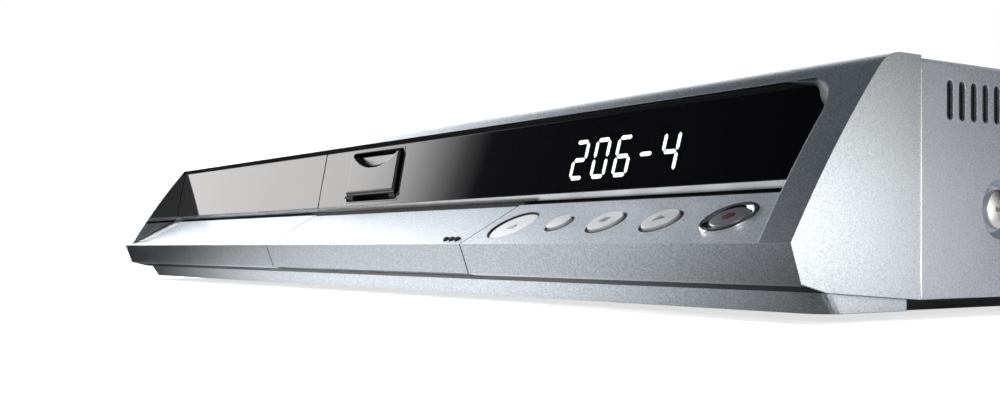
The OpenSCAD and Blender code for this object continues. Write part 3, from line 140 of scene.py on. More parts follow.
@dataclass(frozen=True)
class Finish:
    """A finish: its colour, gloss and fine pattern, which become one procedural material.

    Attributes:
        name: the material's name.
        colour: mean colour, linear.
        grain: kind of fine pattern.
        metallic: share of metal in the shader.
        rough: mean roughness.
        cell: size of the fine pattern, metres.
        spread: how far the colour strays from its mean, as a share.
        relief: height of the bump, as a share of a cell.
        edge: radius that sharp edges are shaded with, metres.
        coat: weight of a clear lacquer.
        ior: index of refraction.
        glow: strength of light that the surface gives off.
        satin: how much less metallic the control shelf is.
    """

    name: str
    colour: Colour
    grain: Grain
    metallic: float = 0.0
    rough: float = 0.5
    cell: float = 0.5 * MM
    spread: float = 0.1
    relief: float = 0.1
    edge: float = 0.0
    coat: float = 0.0
    ior: float = 1.5
    glow: float = 0.0
    satin: float = 0.0

    def build(self) -> bpy.types.Material:
        """Makes the material.

        Returns:
            The new material.
        """
        mat = bpy.data.materials.new(self.name)
        mat.use_nodes = True
        tree = mat.node_tree
        place = put_node(tree, "TexCoord").outputs["Object"]
        fine = self._fine(tree, place)
        noise = {"Vector": place, "Scale": BROAD_SCALE, "Detail": 3.0}
        broad = put_node(tree, "TexNoise", noise).outputs["Fac"]
        shader = tree.nodes["Principled BSDF"]
        feed(tree, shader, {
            "Base Color": self._tint(tree, fine, broad),
            "Metallic": self._metal(tree, place) if self.satin else self.metallic,
            "Roughness": self._gloss(tree, broad),
            "IOR": self.ior,
            "Coat Weight": self.coat,
            "Coat Roughness": COAT_ROUGH,
            "Normal": self._tilt(tree, fine) if self.grain is Grain.FLAKE else self._bump(tree, fine),
        })
        if self.glow:
            feed(tree, shader, {"Emission Color": (*self.colour, 1), "Emission Strength": self.glow})
        return mat

    def _fine(self, tree: Tree, place: Socket) -> Socket:
        """Adds the fine pattern.

        Args:
            tree: the material's nodes.
            place: Object coordinates.

        Returns:
            A socket whose value, or each channel of its colour, strays about one half.
        """
        stretch = {Grain.BRUSHED: (0.03, 1, 1), Grain.LAMINATE: (1, 1, 0.2)}.get(self.grain, (1, 1, 1))
        vector = put_node(tree, "Mapping", {"Vector": place, "Scale": stretch}).outputs["Vector"]
        if self.grain in (Grain.FLAKE, Grain.LAMINATE):
            return put_node(tree, "TexVoronoi", {"Vector": vector, "Scale": 1 / self.cell}).outputs["Color"]
        noise = put_node(tree, "TexNoise", {"Vector": vector, "Scale": 0.5 / self.cell, "Detail": 4.0})
        return noise.outputs["Fac"]

    def _tint(self, tree: Tree, fine: Socket,
              broad: Socket) -> Socket:
        """Strays the colour by the fine pattern and, less, by a broad one.

        Args:
            tree: the material's nodes.
            fine: value of the fine pattern.
            broad: value of the broad pattern.

        Returns:
            The colour's socket.
        """
        both = put_node(tree, "Math", {0: broad, 1: BROAD_SHARE, 2: fine}, "MULTIPLY_ADD")
        scale = put_node(tree, "ValToRGB", {"Fac": both.outputs[0]})
        low, high = scale.color_ramp.elements
        low.position, high.position = 0.15, 1.1 if self.grain is Grain.FLAKE else 0.95
        low.color = (*(c * (1 - self.spread) for c in self.colour), 1)
        high.color = (*(min(1.0, c * (1 + self.spread)) for c in self.colour), 1)
        return scale.outputs["Color"]

    def _gloss(self, tree: Tree, broad: Socket) -> Socket:
        """Strays the roughness by the broad pattern.

        Args:
            tree: the material's nodes.
            broad: value of the broad pattern.

        Returns:
            The roughness's socket.
        """
        low, high = self.rough * (1 - GLOSS_STRAY), min(1.0, self.rough * (1 + GLOSS_STRAY))
        span = {"Value": broad, "From Min": 0.3, "From Max": 0.7, "To Min": low, "To Max": high}
        return put_node(tree, "MapRange", span).outputs["Result"]

    def _metal(self, tree: Tree, place: Socket) -> Socket:
        """Makes the control shelf less metallic: the faces below its head that look up.

        Args:
            tree: the material's nodes.
            place: Object coordinates.

        Returns:
            The socket of the share of metal.
        """
        normal = put_node(tree, "NewGeometry").outputs["True Normal"]
        found = {}
        for i, (source, test, limit) in enumerate(((normal, "GREATER_THAN", LOOKS_UP),
                                                   (place, "LESS_THAN", SHELF_HEAD))):
            height = put_node(tree, "SeparateXYZ", {0: source}).outputs["Z"]
            found[i] = put_node(tree, "Math", {0: height, 1: limit}, test).outputs[0]
        share = put_node(tree, "Math", found, "MULTIPLY").outputs[0]
        metal = put_node(tree, "Math", {0: share, 1: -self.satin, 2: self.metallic}, "MULTIPLY_ADD")
        return metal.outputs[0]

    def _smooth(self, tree: Tree) -> Socket:
        """Adds the normal that the fine pattern starts from, soft at sharp edges.

        Args:
            tree: the material's nodes.

        Returns:
            The normal's socket.
        """
        if not self.edge:
            return put_node(tree, "NewGeometry").outputs["Normal"]
        soft = put_node(tree, "Bevel", {"Radius": self.edge})
        soft.samples = BEVEL_SAMPLES
        return soft.outputs["Normal"]

    def _bump(self, tree: Tree, fine: Socket) -> Socket:
        """Raises the fine pattern as a bump.

        Args:
            tree: the material's nodes.
            fine: value of the fine pattern.

        Returns:
            The normal's socket.
        """
        bump = {"Height": fine, "Strength": 1.0, "Distance": self.cell * self.relief,
                "Normal": self._smooth(tree)}
        return put_node(tree, "Bump", bump).outputs["Normal"]

    def _tilt(self, tree: Tree, fine: Socket) -> Socket:
        """Tilts each flake its own way: the normal plus relief * (colour - 1 / 2), made one long.

        Args:
            tree: the material's nodes.
            fine: colour of the flakes.

        Returns:
            The normal's socket.
        """
        off = put_node(tree, "VectorMath", {0: fine, 1: (0.5, 0.5, 0.5)}, "SUBTRACT").outputs[0]
        part = put_node(tree, "VectorMath", {0: off, "Scale": self.relief}, "SCALE").outputs[0]
        total = put_node(tree, "VectorMath", {0: part, 1: self._smooth(tree)}, "ADD").outputs[0]
        return put_node(tree, "VectorMath", {0: total}, "NORMALIZE").outputs[0]


# After the grain come the share of metal, roughness, size of the pattern, spread, relief and edge.
SILVER = Finish("silver_flake_lacquer", (0.665, 0.715, 0.805), Grain.FLAKE, 0.985, 0.32, 0.27 * MM,
                0.3, 0.06, 0.2 * MM, satin=0.45)
FLUSH = replace(SILVER, name="silver_corner_lacquer", edge=0.0)
# A dark copy of the silver: painted shade on the slope of the window's upper right corner.
SILVER_SHADE_COPY = replace(SILVER, name="corner_lacquer_painted_shade", colour=(0.065, 0.072, 0.082), edge=0.0)
KEY = Finish("pale_key_plastic", (0.8, 0.81, 0.84), Grain.MOULDED, 0.3, 0.22, 0.3 * MM, 0.05, 0.02)
COVER = Finish("silver_sheet_paint", (0.63, 0.665, 0.745), Grain.FLAKE, 0.8, 0.36, 0.27 * MM,
               0.26, 0.06, 0.3 * MM)
ZINC = Finish("zinc_plate", (0.62, 0.63, 0.64), Grain.BRUSHED, 0.9, 0.36, 0.4 * MM, 0.08, 0.03, 0.15 * MM)
# Smoked acrylic of the window and doors, also used as painted shade on the cheeks' inner sides.
SMOKED = Finish("smoked_acrylic_and_painted_shade", (0.004, 0.004, 0.005), Grain.POLISHED, 0.0, 0.03, 30 * MM,
                0.3, 0.0, 0.25 * MM, ior=2.2)
# Black moulding of real parts, also used as painted shade: key sleeves, gap sheets and the line under the
# band.
BLACK = Finish("black_moulding_and_painted_shade", (0.012, 0.012, 0.014), Grain.MOULDED, 0.0, 0.5, 0.4 * MM,
               0.25, 0.05, 0.15 * MM)
DARK = Finish("dark_grey_moulding", (0.035, 0.036, 0.04), Grain.MOULDED, 0.0, 0.55, 0.5 * MM,
              0.2, 0.06, 0.15 * MM)
# The feet's rubber also serves as painted shade behind the side vents.
RUBBER = Finish("foot_rubber", (0.02, 0.02, 0.02), Grain.CAST, 0.0, 0.8, 0.6 * MM, 0.2, 0.08, 0.4 * MM)
NICKEL = Finish("nickel_plate", (0.72, 0.72, 0.73), Grain.BRUSHED, 1.0, 0.2, 0.3 * MM, 0.05, 0.02, 0.2 * MM)
CHROME = Finish("bright_chrome", (0.82, 0.82, 0.84), Grain.POLISHED, 1.0, 0.06, 8 * MM, 0.04, 0.0, 0.2 * MM)
BOARD = Finish("green_laminate", (0.02, 0.11, 0.05), Grain.LAMINATE, 0.0, 0.35, 2.4 * MM,
               0.45, 0.0, 0.1 * MM)
BROWN = Finish("brown_laminate", (0.26, 0.17, 0.07), Grain.LAMINATE, 0.0, 0.5, 3 * MM, 0.25, 0.0, 0.1 * MM)
NYLON = Finish("white_nylon", (0.74, 0.73, 0.68), Grain.MOULDED, 0.0, 0.45, 0.5 * MM, 0.06, 0.04, 0.15 * MM)
SOCKET = Finish("yellow_socket_plastic", (0.62, 0.42, 0.03), Grain.MOULDED, 0.0, 0.4, 0.4 * MM,
                0.1, 0.04, 0.15 * MM)
MOTOR = Finish("plated_motor_can", (0.5, 0.51, 0.52), Grain.BRUSHED, 1.0, 0.3, 0.4 * MM,
               0.08, 0.03, 0.3 * MM)
ALLOY = Finish("cast_drive_alloy", (0.5, 0.51, 0.52), Grain.CAST, 0.85, 0.45, 0.8 * MM, 0.1, 0.08, 0.3 * MM)
TUBE = Finish("dark_display_tube", (0.01, 0.012, 0.013), Grain.POLISHED, 0.0, 0.08, 20 * MM,
              0.2, 0.0, 0.2 * MM)
LIT = Finish("lit_segments", (0.93, 0.96, 1.0), Grain.POLISHED, 0.0, 0.4, 2 * MM, 0.04, 0.0, glow=1.0)
PRINT = Finish("grey_key_print", (0.16, 0.165, 0.18), Grain.MOULDED, 0.0, 0.4, 0.2 * MM, 0.1, 0.02)
RED = Finish("dark_red_print", (0.1, 0.03, 0.04), Grain.MOULDED, 0.0, 0.35, 0.2 * MM, 0.15, 0.02)
FOOT = Finish("polished_foot", (0.88, 0.89, 0.91), Grain.POLISHED, 1.0, 0.24, 8 * MM, 0.04, 0.0)
CAP = Finish("satin_cap_metal", (0.7, 0.71, 0.74), Grain.MOULDED, 0.9, 0.3, 0.3 * MM, 0.06, 0.02)
WHITE_RING = Finish("white_socket_plastic", (0.74, 0.74, 0.72), Grain.MOULDED, 0.0, 0.4, 0.4 * MM,
                    0.06, 0.04)
RED_RING = Finish("red_socket_plastic", (0.42, 0.02, 0.02), Grain.MOULDED, 0.0, 0.4, 0.4 * MM, 0.1, 0.04)

NODE_FINISH: dict[Finish, tuple[str, ...]] = {
    SILVER: ("front_fascia", "plinth", "input_flap"),
    KEY: ("standby_button", "eject_button", "select_button", "stop_button", "play_button", "record_button"),
    COVER: ("top_cover",),
    ZINC: ("bottom_pan", "rear_panel", "tuner_can", "hard_drive_bracket", "clamp_bridge"),
    SMOKED: ("display_window", "tray_bezel", "card_flap"),
    BLACK: ("inner_frame", "jack_panel", "card_socket", "disc_tray", "scart_sockets", "mains_inlet",
            "main_chips", "switches", "fan_rotor", "drive_belt", "clamp_puck", "front_jacks"),
    DARK: ("drive_frame", "fan_frame", "power_parts", "pickup_sled"),
    RUBBER: ("feet", "hard_drive_bushes"),
    NICKEL: ("cover_screws", "inner_screws", "satellite_sockets", "digital_sockets", "guide_rods",
             "sled_screw"),
    CHROME: ("record_ring",),
    BOARD: ("main_board", "av_board", "display_board"),
    BROWN: ("power_board", "button_board"),
    NYLON: ("tray_gear", "pulley_gear", "motor_pulley", "turntable"),
    SOCKET: ("phono_sockets",),
    MOTOR: ("loading_motor", "spindle_motor", "sled_motor"),
    ALLOY: ("hard_drive",),
    TUBE: ("display_tube",),
}


def put_mesh(name: str, points: np.ndarray, quads: np.ndarray,
             more: Sequence[list[int]] = ()) -> bpy.types.Object:
    """Puts points and faces into a new object at the origin.

    Args:
        name: the piece's name.
        points: n by 3 places, metres.
        quads: m by 4 point numbers.
        more: further faces, with any number of points.

    Returns:
        The new object, linked to the scene.
    """
    mesh = bpy.data.meshes.new(name)
    mesh.from_pydata(points.tolist(), [], quads.tolist() + list(more))
    mesh.polygons.foreach_set("use_smooth", np.ones(len(mesh.polygons), dtype=bool))
    mesh.update()
    obj = bpy.data.objects.new(name, mesh)
    bpy.context.scene.collection.objects.link(obj)
    return obj


def grid_faces(rows: int, cols: int, round_u: bool = False, round_v: bool = False) -> np.ndarray:
    """Numbers the faces of a grid of points: face i, j joins points (i, j), (i, j+1), (i+1, j+1), (i+1, j).

    Args:
        rows: points along the first parameter.
        cols: points along the second parameter.
        round_u: whether the last row joins the first.
        round_v: whether the last column joins the first.

    Returns:
        Faces as rows of four point numbers.
    """
    i, j = np.meshgrid(np.arange(rows if round_u else rows - 1), np.arange(cols if round_v else cols - 1),
                       indexing="ij")
    i2, j2 = (i + 1) % rows, (j + 1) % cols
    return np.stack([i * cols + j, i * cols + j2, i2 * cols + j2, i2 * cols + j], -1).reshape(-1, 4)


@dataclass(frozen=True)
class Face:
    """A flat face of the part, which rises backwards from a line along X.

    Attributes:
        s: how far behind the lip the line lies.
        h: how far above the lip it lies.
        slope: rise of the face from level, degrees.
    """

    s: float
    h: float
    slope: float

    def place(self, x: np.ndarray, v: np.ndarray, w: np.ndarray) -> np.ndarray:
        """Places points: v runs up the face and w out of it, both turned by the slope about the line.

        Args:
            x: places along the line.
            v: distances up the face.
            w: heights above the face.

        Returns:
            Places in the frame, with the last axis holding x, y and z.
        """
        a = math.radians(self.slope)
        s = self.s + v * math.cos(a) - w * math.sin(a)
        h = self.h + v * math.sin(a) + w * math.cos(a)
        return np.stack(np.broadcast_arrays(x, LIP_Y + s, LIP_Z + h), -1)

    def behind(self, h: np.ndarray) -> np.ndarray:
        """Returns how far behind the lip the face lies at heights above the lip."""
        return self.s + (h - self.h) / math.tan(math.radians(self.slope))


LEVEL = Face(0.0, 0.0, 0.0)
SHELF = Face(0.0, 0.0, 28.332)
GLASS = Face(20.962 * MM, 0.0, 78.7)
JACKS = Face(21.7 * MM, 0.0, 90.0)
REAR = Face(319.8 * MM, 0.0, -90.0)


def cheek_front(h: np.ndarray) -> np.ndarray:
    """Returns how far behind the lip the cheek's front lies at heights: the nearer side of its circle."""
    s, c, r = CHEEK_CURVE
    return s - np.sqrt(r ** 2 - (h - c) ** 2)


def skin(name: str, rings: np.ndarray, wrap: bool = False) -> bpy.types.Object:
    """Joins closed rings of points into one skin; a ring drawn into one point becomes a pole.

    Args:
        name: the piece's name.
        rings: rings by points by 3.
        wrap: whether the last ring joins the first.

    Returns:
        The new object, with doubles merged, faces outwards and its sharp edges marked.
    """
    rows, cols = rings.shape[:2]
    obj = put_mesh(name, rings.reshape(-1, 3), grid_faces(rows, cols, wrap, True))
    seal(obj)
    return obj


def seal(obj: bpy.types.Object) -> None:
    """Merges doubles, points the faces outwards and marks sharp edges.

    Args:
        obj: a closed skin.
    """
    work = bmesh.new()
    work.from_mesh(obj.data)
    bmesh.ops.remove_doubles(work, verts=work.verts, dist=MERGE_WITHIN)
    bmesh.ops.recalc_face_normals(work, faces=work.faces)
    work.to_mesh(obj.data)
    work.free()
    obj.data.set_sharp_from_angle(angle=math.radians(SHARP_FROM))


def arc(centre: Pair, radius: float, start: float, end: float, count: int) -> np.ndarray:
    """Returns points (c + r cos t, c + r sin t) for t from start to end, in degrees."""
    t = np.radians(np.linspace(start, end, count))
    return np.stack([centre[0] + radius * np.cos(t), centre[1] + radius * np.sin(t)], -1)


def turned(face: Face, x: float, v: float, profile: np.ndarray, count: int) -> np.ndarray:
    """Turns a profile of (radius, height) about the normal of a face.

    The point at angle t is x + r cos t along the line, v + r sin t up the face and the height out of it.

    Args:
        face: the face that carries it.
        x: place along X.
        v: place up the face.
        profile: points of radius and height.
        count: points round.

    Returns:
        Rings by points by 3.
    """
    t = np.linspace(0, 2 * np.pi, count, endpoint=False)[None, :]
    r, w = profile[:, :1], profile[:, 1:]
    return face.place(x + r * np.cos(t), v + r * np.sin(t), w + 0 * t)


def plate(face: Face, x: float, v: float, outline: np.ndarray, low: float, high: float,
          edge: float) -> np.ndarray:
    """Carries a flat outline out of a face with a rounded rim.

    Ring k is the outline drawn towards its middle by a share and lifted to a height. The shares follow a
    quarter circle of the edge's radius, and the first and last rings are the middle itself.

    Args:
        face: the face that carries it.
        x: place of the outline's zero along X.
        v: place of the outline's zero up the face.
        outline: n by 2 points, star-shaped about their mean.
        low: height of the foot.
        high: height of the top.
        edge: radius of the rim.

    Returns:
        Rings by points by 3.
    """
    mid = outline.mean(axis=0)
    reach = np.abs(outline - mid).max()
    t = np.linspace(0, np.pi / 2, 4)
    share = np.concatenate([[0, 1], 1 - edge / reach * (1 - np.cos(t)), [0]])
    height = np.concatenate([[low, low], high - edge * (1 - np.sin(t)), [high]])
    flat = mid + share[:, None, None] * (outline - mid)
    return face.place(x + flat[..., 0], v + flat[..., 1], height[:, None] + 0 * flat[..., 0])


def drawn(face: Face, section: np.ndarray, span: Pair) -> np.ndarray:
    """Draws a section along X: ring k is the section at an end, and the first and last rings are its middle.

    Args:
        face: the face whose measures the section uses.
        section: n by 2 points up and out of the face.
        span: both ends along X.

    Returns:
        Rings by points by 3.
    """
    x = np.repeat(span, 2)[:, None]
    share = np.array([0, 1, 1, 0])[:, None, None]
    mid = section.mean(axis=0)
    flat = mid + share * (section - mid)
    return face.place(x + 0 * flat[..., 0], flat[..., 0], flat[..., 1])


def rounded_box(box: Quad, grow: float, corner: float) -> np.ndarray:
    """Draws a rectangle with round corners: four quarter circles in turn.

    Args:
        box: left, right, foot and head.
        grow: how far it is drawn outside the box.
        corner: radius of the corners.

    Returns:
        Points of the closed outline, ten to a corner.
    """
    left, right, foot, head = box[0] - grow, box[1] + grow, box[2] - grow, box[3] + grow
    centres = ((right - corner, head - corner), (left + corner, head - corner),
               (left + corner, foot + corner), (right - corner, foot + corner))
    return np.concatenate([arc(c, corner, 90 * k, 90 * k + 90, 10) for k, c in enumerate(centres)])


def oblong(across: Pair, up: Pair) -> np.ndarray:
    """Returns the four corners of a rectangle, in turn."""
    return np.array([(across[i], up[j]) for i, j in ((0, 0), (1, 0), (1, 1), (0, 1))])


@dataclass
class Shop:
    """Makes each finish once and joins new pieces to the frame.

    Attributes:
        made: materials by finish.
    """

    made: dict[Finish, bpy.types.Material] = field(default_factory=dict)

    def material(self, finish: Finish) -> bpy.types.Material:
        """Returns the finish's material, made on first use."""
        if finish not in self.made:
            self.made[finish] = finish.build()
        return self.made[finish]

    def add(self, obj: bpy.types.Object, finish: Finish, body: str, slot: str, *nodes: str) -> None:
        """Dresses a new piece and joins it to a body.

        Args:
            obj: the piece.
            finish: its finish.
            body: the body that it moves with.
            slot: not used.
            nodes: nodes that it stands for.
        """
        obj.data.materials.append(self.material(finish))
        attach(obj, body)
        if nodes:
            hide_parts(*nodes)
        LOG.info("piece %s on %s: %s", obj.name, body, finish.name)

    @staticmethod
    def middle(node: str) -> np.ndarray:
        """Returns the middle of a node's box."""
        return np.mean(np.asarray(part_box(node)), axis=0)


class Mark(Enum):
    """Marks on the keys."""

    NONE = "none"
    EJECT = "eject"
    STOP = "stop"
    PLAY = "play"
    RECORD = "record"

    def outlines(self) -> list[np.ndarray]:
        """Returns the mark's outlines, in metres about the middle of the key."""
        tri = np.array([(-1.75, -0.35), (1.75, -0.35), (0, 1.75)])
        bar = np.array([(-1.75, -1.55), (1.75, -1.55), (1.75, -0.85), (-1.75, -0.85)])
        square = 1.3 * np.array([(-1, -1), (1, -1), (1, 1), (-1, 1)])
        side = np.array([(-1.2, -1.75), (1.9, 0), (-1.2, 1.75)])
        disc = arc((0, 0), 1.7, 0, 345, 24)
        found = {Mark.EJECT: [tri, bar], Mark.STOP: [square], Mark.PLAY: [side], Mark.RECORD: [disc]}
        return [o * MM for o in found.get(self, [])]


@dataclass(frozen=True)
class Key:
    """One round key.

    Attributes:
        node: its node, which is also the name of its body.
        radius: radius of its cap.
        hole: radius of its hole in the shelf.
        rise: height of its face above the shelf.
        mark: the mark on its face.
        lined: whether a black sleeve lines its hole, as painted shade in the gap.
    """

    node: str
    radius: float
    hole: float
    rise: float
    mark: Mark
    lined: bool = True


@dataclass
class KeyRow:
    """The round keys of the shelf, the black sleeves round them as painted shade in their gaps, and the
    chrome ring of the last one.

    Attributes:
        v: how far up the shelf the keys stand.
        foot: depth of a key's flange under the shelf.
        flange: thickness of the flange, and how far it reaches past the hole.
        stem: radius and end of the stem.
        edge: radius of a cap's rim.
        crown: how far a cap's face falls from its middle to its rim.
        wall: thickness of the shelf.
        sleeve: a black sleeve's gap to its key, its gap to the hole, and how deep its top lies; the sleeve
            is painted shade.
        mark: depth, height and rim of a mark.
        ring: outer radius, sleeve's radius, bore and height of the chrome ring.
        bowl: width of the land inside the ring's lip, the bowl's depth in heights of the ring, and its curl.
        keys: the keys, from the left.
    """

    v: float = 11.6 * MM
    foot: float = 3.35 * MM
    flange: Pair = (1.0 * MM, 0.6 * MM)
    stem: Pair = (1.5 * MM, 5.0 * MM)
    edge: float = 0.35 * MM
    crown: float = 0.1 * MM
    wall: float = 2.2 * MM
    sleeve: Triple = (0.12 * MM, 0.02 * MM, 0.1 * MM)
    mark: Triple = (0.3 * MM, 0.03 * MM, 0.05 * MM)
    bowl: Triple = (0.25 * MM, 1.5, 0.98)
    ring: Quad = (7.3 * MM, 6.6 * MM, 5.1 * MM, 0.9 * MM)
    keys: tuple[Key, ...] = (
        Key("eject_button", 7.65 * MM, 8.2 * MM, -0.4 * MM, Mark.EJECT),
        Key("select_button", 3.6 * MM, 4.5 * MM, 0.9 * MM, Mark.NONE),
        Key("stop_button", 5.0 * MM, 5.9 * MM, 0.9 * MM, Mark.STOP),
        Key("play_button", 5.0 * MM, 5.9 * MM, 0.9 * MM, Mark.PLAY),
        Key("record_button", 4.7 * MM, 5.1 * MM, 0.9 * MM, Mark.RECORD, False),
    )

    def build(self, shop: Shop) -> None:
        """Builds every key, its sleeve of painted shade and its mark, and the chrome ring.

        Args:
            shop: makes the finishes and joins pieces to the frame.
        """
        deep, high, rim = self.mark
        for key in self.keys:
            x = shop.middle(key.node)[0]
            cap = skin(key.node + "_cap", turned(SHELF, x, self.v, self._cap(key), 64))
            shop.add(cap, KEY if key.lined else CAP, key.node, "key_plastic", key.node)
            if key.lined:
                # A black sleeve in the gap round the key: painted shade where the hole falls in shade.
                rings = turned(SHELF, x, self.v, self._sleeve(key), 64)
                shop.add(skin(key.node + "_sleeve", rings, wrap=True), BLACK, "case", "black_plastic")
            finish = RED if key.mark is Mark.RECORD else PRINT
            for i, outline in enumerate(key.mark.outlines()):
                rings = plate(SHELF, x, self.v, outline, key.rise - deep, key.rise + high, rim)
                shop.add(skin(f"{key.node}_mark_{i}", rings), finish, key.node, "dark_plastic")
        rings = turned(SHELF, shop.middle("record_ring")[0], self.v, self._ring(), 96)
        shop.add(skin("chrome_ring", rings, wrap=True), CHROME, "case", "chrome_ring", "record_ring")

    def _cap(self, key: Key) -> np.ndarray:
        """Draws a key's profile: stem, flange, wall, rounded rim and crowned face.

        Args:
            key: the key.

        Returns:
            Points of radius and height, from the stem's end to the middle of the face.
        """
        r, top, wide = key.radius, key.rise - self.crown, key.hole + self.flange[1]
        low = [(0, -self.stem[1]), (self.stem[0], -self.stem[1]), (self.stem[0], -self.foot),
               (wide, -self.foot), (wide, self.flange[0] - self.foot), (r, self.flange[0] - self.foot)]
        rim = arc((r - self.edge, top - self.edge), self.edge, 0, 90, 7)
        out = np.linspace(1, 0, 7)[1:]
        face = np.stack([out * (r - self.edge), top + self.crown * (1 - out * out)], -1)
        return np.concatenate([low, rim, face])

    def _sleeve(self, key: Key) -> np.ndarray:
        """Returns the closed profile of the black sleeve between a key and its hole: painted shade in the
        gap.
        """
        near, far, deep = self.sleeve
        return oblong((key.radius + near, key.hole - far), (-self.wall, -deep))

    def _ring(self) -> np.ndarray:
        """Draws the closed profile of the chrome ring: rounded lip, bowl that falls to the bore, and sleeve.

        Returns:
            Points of radius and height.
        """
        outer, sleeve, bore, high = self.ring
        land, deep, curl = self.bowl
        lip = arc((outer - high / 2, high / 2), high / 2, 0, 90, 9)
        t = np.linspace(0, 1, 9)[1:]
        start, fall = outer - high / 2 - land, deep * high
        bowl = np.stack([start - (start - bore) * t, high - fall * (1 - np.sqrt(1 - t * t * curl))], -1)
        foot = [(bore, -self.wall), (sleeve, -self.wall), (sleeve, 0.01 * MM), (outer, 0.01 * MM)]
        return np.concatenate([lip, bowl, foot])


@dataclass
class Readout:
    """Lit segments behind the window: a plain number of five places.

    Attributes:
        text: what it shows.
        x: left end of the first place.
        v: foot and head of the figures up the window.
        width: width of a figure.
        pitch: distance from place to place.
        stroke: width of a segment.
        split: gap between neighbouring segments.
        lean: sideways lean of the figures, per unit of height.
        thick: how far the segments stand out of the window.
        root: how far they reach into it.
        rim: radius of a segment's rim.
    """

    text: str = "206-4"
    x: float = 112.2 * MM
    v: Pair = (18.6 * MM, 30.2 * MM)
    width: float = 6.3 * MM
    pitch: float = 9.2 * MM
    stroke: float = 1.15 * MM
    split: float = 0.28 * MM
    lean: float = 0.1
    thick: float = 0.06 * MM
    root: float = 0.3 * MM
    rim: float = 0.04 * MM

    SEGMENTS = {"0": "abcdef", "2": "abged", "4": "fgbc", "6": "afgedc", "-": "g"}

    def build(self, shop: Shop) -> None:
        """Builds one thin plate for each lit segment.

        Args:
            shop: makes the finishes and joins pieces to the frame.
        """
        for place, figure in enumerate(self.text):
            for letter in self.SEGMENTS[figure]:
                outline = self._segment(letter) + [self.x + place * self.pitch, self.v[0]]
                outline[:, 0] += self.lean * (outline[:, 1] - self.v[0])
                rings = plate(GLASS, 0.0, 0.0, outline, -self.root, self.thick, self.rim)
                shop.add(skin(f"segment_{place}_{letter}", rings), LIT, "case", "display_glass")

    def _segment(self, letter: str) -> np.ndarray:
        """Draws a segment: a six-sided bar with pointed ends between two corners of the figure.

        Args:
            letter: the segment, counted clockwise from the top as a to f, with g across the middle.

        Returns:
            Its outline about the figure's lower left corner.
        """
        half = self.stroke / 2
        high = self.v[1] - self.v[0] - self.stroke
        wide = self.width - self.stroke
        ends = {"a": ((0, 1), (1, 1)), "b": ((1, 1), (1, 0.5)), "c": ((1, 0.5), (1, 0)),
                "d": ((0, 0), (1, 0)), "e": ((0, 0.5), (0, 0)), "f": ((0, 1), (0, 0.5)),
                "g": ((0, 0.5), (1, 0.5))}
        start, end = (np.array(p) * (wide, high) + half for p in ends[letter])
        along = (end - start) / np.linalg.norm(end - start)
        across = np.array([-along[1], along[0]])
        start, end = start + along * self.split, end - along * self.split
        steps = [(start, 0, 0), (start, half, half), (end, -half, half), (end, 0, 0), (end, -half, -half),
                 (start, half, -half)]
        return np.array([p + along * a + across * b for p, a, b in steps])


